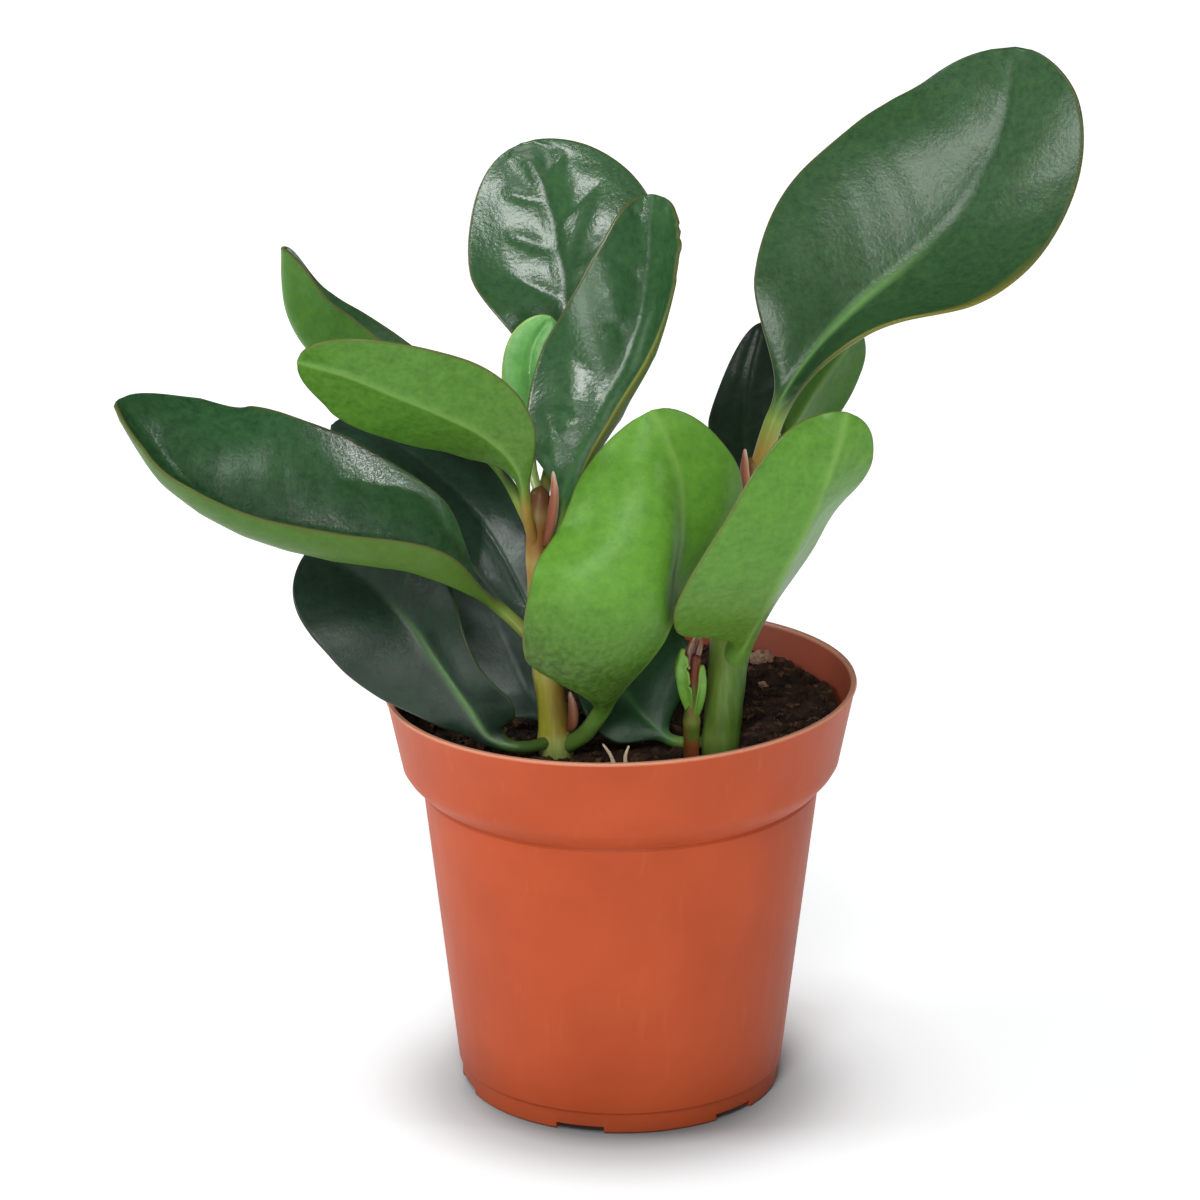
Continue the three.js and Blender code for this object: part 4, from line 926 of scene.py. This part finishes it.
perlite = {
    "light": "#B08C74", "shade": "#8A6652", "grain": 0.8, "squash": (1.1, 0.9, 0.8),
    "lumps": {"perliteA": ([33.8, 31, 93.2], 2.5), "perliteB": ([33.5, 15, 92], 1.3),
              "perliteC": ([28, 38, 91.8], 1.2)},
}
perliteSkin = paleMaterial("expandedPerlite", perlite["light"], perlite["shade"], perlite["grain"])
for i, (name, (place, radius)) in enumerate(perlite["lumps"].items()):
    bpy.ops.mesh.primitive_ico_sphere_add(subdivisions=4, radius=radius * mm, location=(0, 0, 0))
    piece = bpy.context.object
    piece.name = name
    for vertex in piece.data.vertices:
        bulge = 1 + 0.35 * noise.noise(Vector(vertex.co / mm * 0.9 + Vector((i * 7, 0, 0))))
        vertex.co = vertex.co * Vector(perlite["squash"]) * bulge + Vector(place) * mm
    bpy.ops.object.shade_smooth()
    finishPiece(piece, perliteSkin, "soil")
roots = {
    "light": "#D6C4A0", "shade": "#C8AE8A", "grain": 0.9,
    "form": {"radii": [0.6, 0.45, 0.25], "steps": 16, "sides": 12, "uneven": 0.2},
    "tips": {"rootTipA": [[-1.5, -36, 90], [-2.5, -35.5, 93], [-4.3, -35, 95.6]],
             "rootTipB": [[1, -36.5, 90], [0.9, -36, 93], [1.8, -35, 95.2]]},
}
rootSkin = paleMaterial("freshRootSkin", roots["light"], roots["shade"], roots["grain"])
for name, points in roots["tips"].items():
    finishPiece(wrapRings(name, *tubeRings({**roots["form"], "points": points})), rootSkin, "soil")
print("perlite and root tips placed")


# A pale floor that glows, with a painted contact shadow round the pot, and soft studio light
def setStage():
    bpy.ops.mesh.primitive_plane_add(size=studio["floorSize"], location=(0, 0, 0))
    floor = bpy.context.object
    floor.name = "studioFloor"
    material, tree, shader, place = newMaterial("glowingPaperWithPaintedShadow")
    # painted light and shadow: the floor glows, more so further off, so that it stays white behind the
    # plant; close round the pot it glows less and its paper is darker, a painted contact shadow
    far = addNode(tree, "VectorMath", (place, studio["centre"]), operation="DISTANCE")
    setInputs(tree, shader, {"Base Color": addNode(tree, "ValToRGB", [far], studio["paper"]),
                             "Roughness": 0.9, "Specular IOR Level": 0.1, "Emission Color": "#FFFFFF",
                             "Emission Strength": addNode(tree, "ValToRGB", [far], studio["glow"])})
    floor.data.materials.append(material)
    world = bpy.context.scene.world or bpy.data.worlds.new("studioWorld")
    bpy.context.scene.world = world
    world.use_nodes = True
    sky = world.node_tree
    height = addNode(sky, "SeparateXYZ", [addNode(sky, "TexCoord").outputs["Generated"]]).outputs["Z"]
    dome = addNode(sky, "ValToRGB", [height], studio["dome"])
    setInputs(sky, sky.nodes["Background"], (dome, studio["domeStrength"]))
    for name, lamp in studio["lamps"].items():
        data = bpy.data.lights.new(name, lamp["kind"])
        for key, value in lamp["set"].items():
            setattr(data, key, value)
        light = bpy.data.objects.new(name, data)
        light.location = lamp["place"]
        aim = Vector(lamp["aim"]) - Vector(lamp["place"])
        light.rotation_euler = aim.to_track_quat("-Z", "Y").to_euler()
        bpy.context.scene.collection.objects.link(light)


studio = {
    "floorSize": 40, "centre": (0, -0.008, 0),
    # the paper is darker close round the pot's foot: a painted shadow
    "paper": [(0.03, "#868A8C"), (0.034, "#ACB2B4"), (0.038, "#C8D0D2")],
    "glow": [(0.037, 0), (0.042, 0.1), (0.05, 0.32), (0.058, 0.5), (0.07, 0.63), (0.09, 0.72),
             (0.2, 0.8), (1, 0.97)],
    "dome": [(0, "#6E6E6E"), (0.02, "#F2F4F6"), (1, "#FFFFFF")], "domeStrength": 0.09,
    "lamps": {
        "keyBox": {"kind": "AREA", "place": (-0.16, -1.18, 1.22), "aim": (0, 0, 0.15),
                   "set": {"shape": "RECTANGLE", "size": 0.5, "size_y": 0.5, "energy": 12.5}},
        "leftBox": {"kind": "AREA", "place": (-1.38, -0.1, 1.05), "aim": (0, 0, 0.15),
                    "set": {"shape": "RECTANGLE", "size": 0.6, "size_y": 0.5, "energy": 12.5}},
        "frontCard": {"kind": "AREA", "place": (-0.25, -1.6, 0.42), "aim": (0, 0, 0.15),
                      "set": {"shape": "RECTANGLE", "size": 0.75, "size_y": 0.4, "energy": 5}},
        # two snooted lamps, on the long leaf at the left and on the tall one
        "rightSnoot": {"kind": "SPOT", "place": (1.02, -0.33, 1.34), "aim": (-0.065, -0.025, 0.155),
                       "set": {"shadow_soft_size": 0.12, "spot_size": math.radians(7),
                               "spot_blend": 1, "energy": 60}},
        "tallSnoot": {"kind": "SPOT", "place": (0.4, -1.31, 0.48), "aim": (-0.008, 0, 0.192),
                      "set": {"shadow_soft_size": 0.16, "spot_size": math.radians(4),
                              "spot_blend": 1, "energy": 110}},
    },
}
setStage()

# 5174 pixels of focal length over the photograph's 1200, on a 36 mm frame
camera = {"target": (-0.00485, 0, 0.1183), "distance": 1.2, "down": 18.4, "focal": 5174 / 1200 * 36}
bpy.context.scene.view_settings.view_transform = "Standard"
cameraData = bpy.data.cameras.new("photoCamera")
cameraData.sensor_width = 36
cameraData.lens = camera["focal"]
cameraData.clip_end = 30
photoCamera = bpy.data.objects.new("photoCamera", cameraData)
down = math.radians(camera["down"])
back = camera["distance"] * Vector((0, -math.cos(down), math.sin(down)))
photoCamera.location = Vector(camera["target"]) + back
photoCamera.rotation_euler = (math.pi / 2 - down, 0, 0)
bpy.context.scene.collection.objects.link(photoCamera)
bpy.context.scene.camera = photoCamera
print("stage lit")
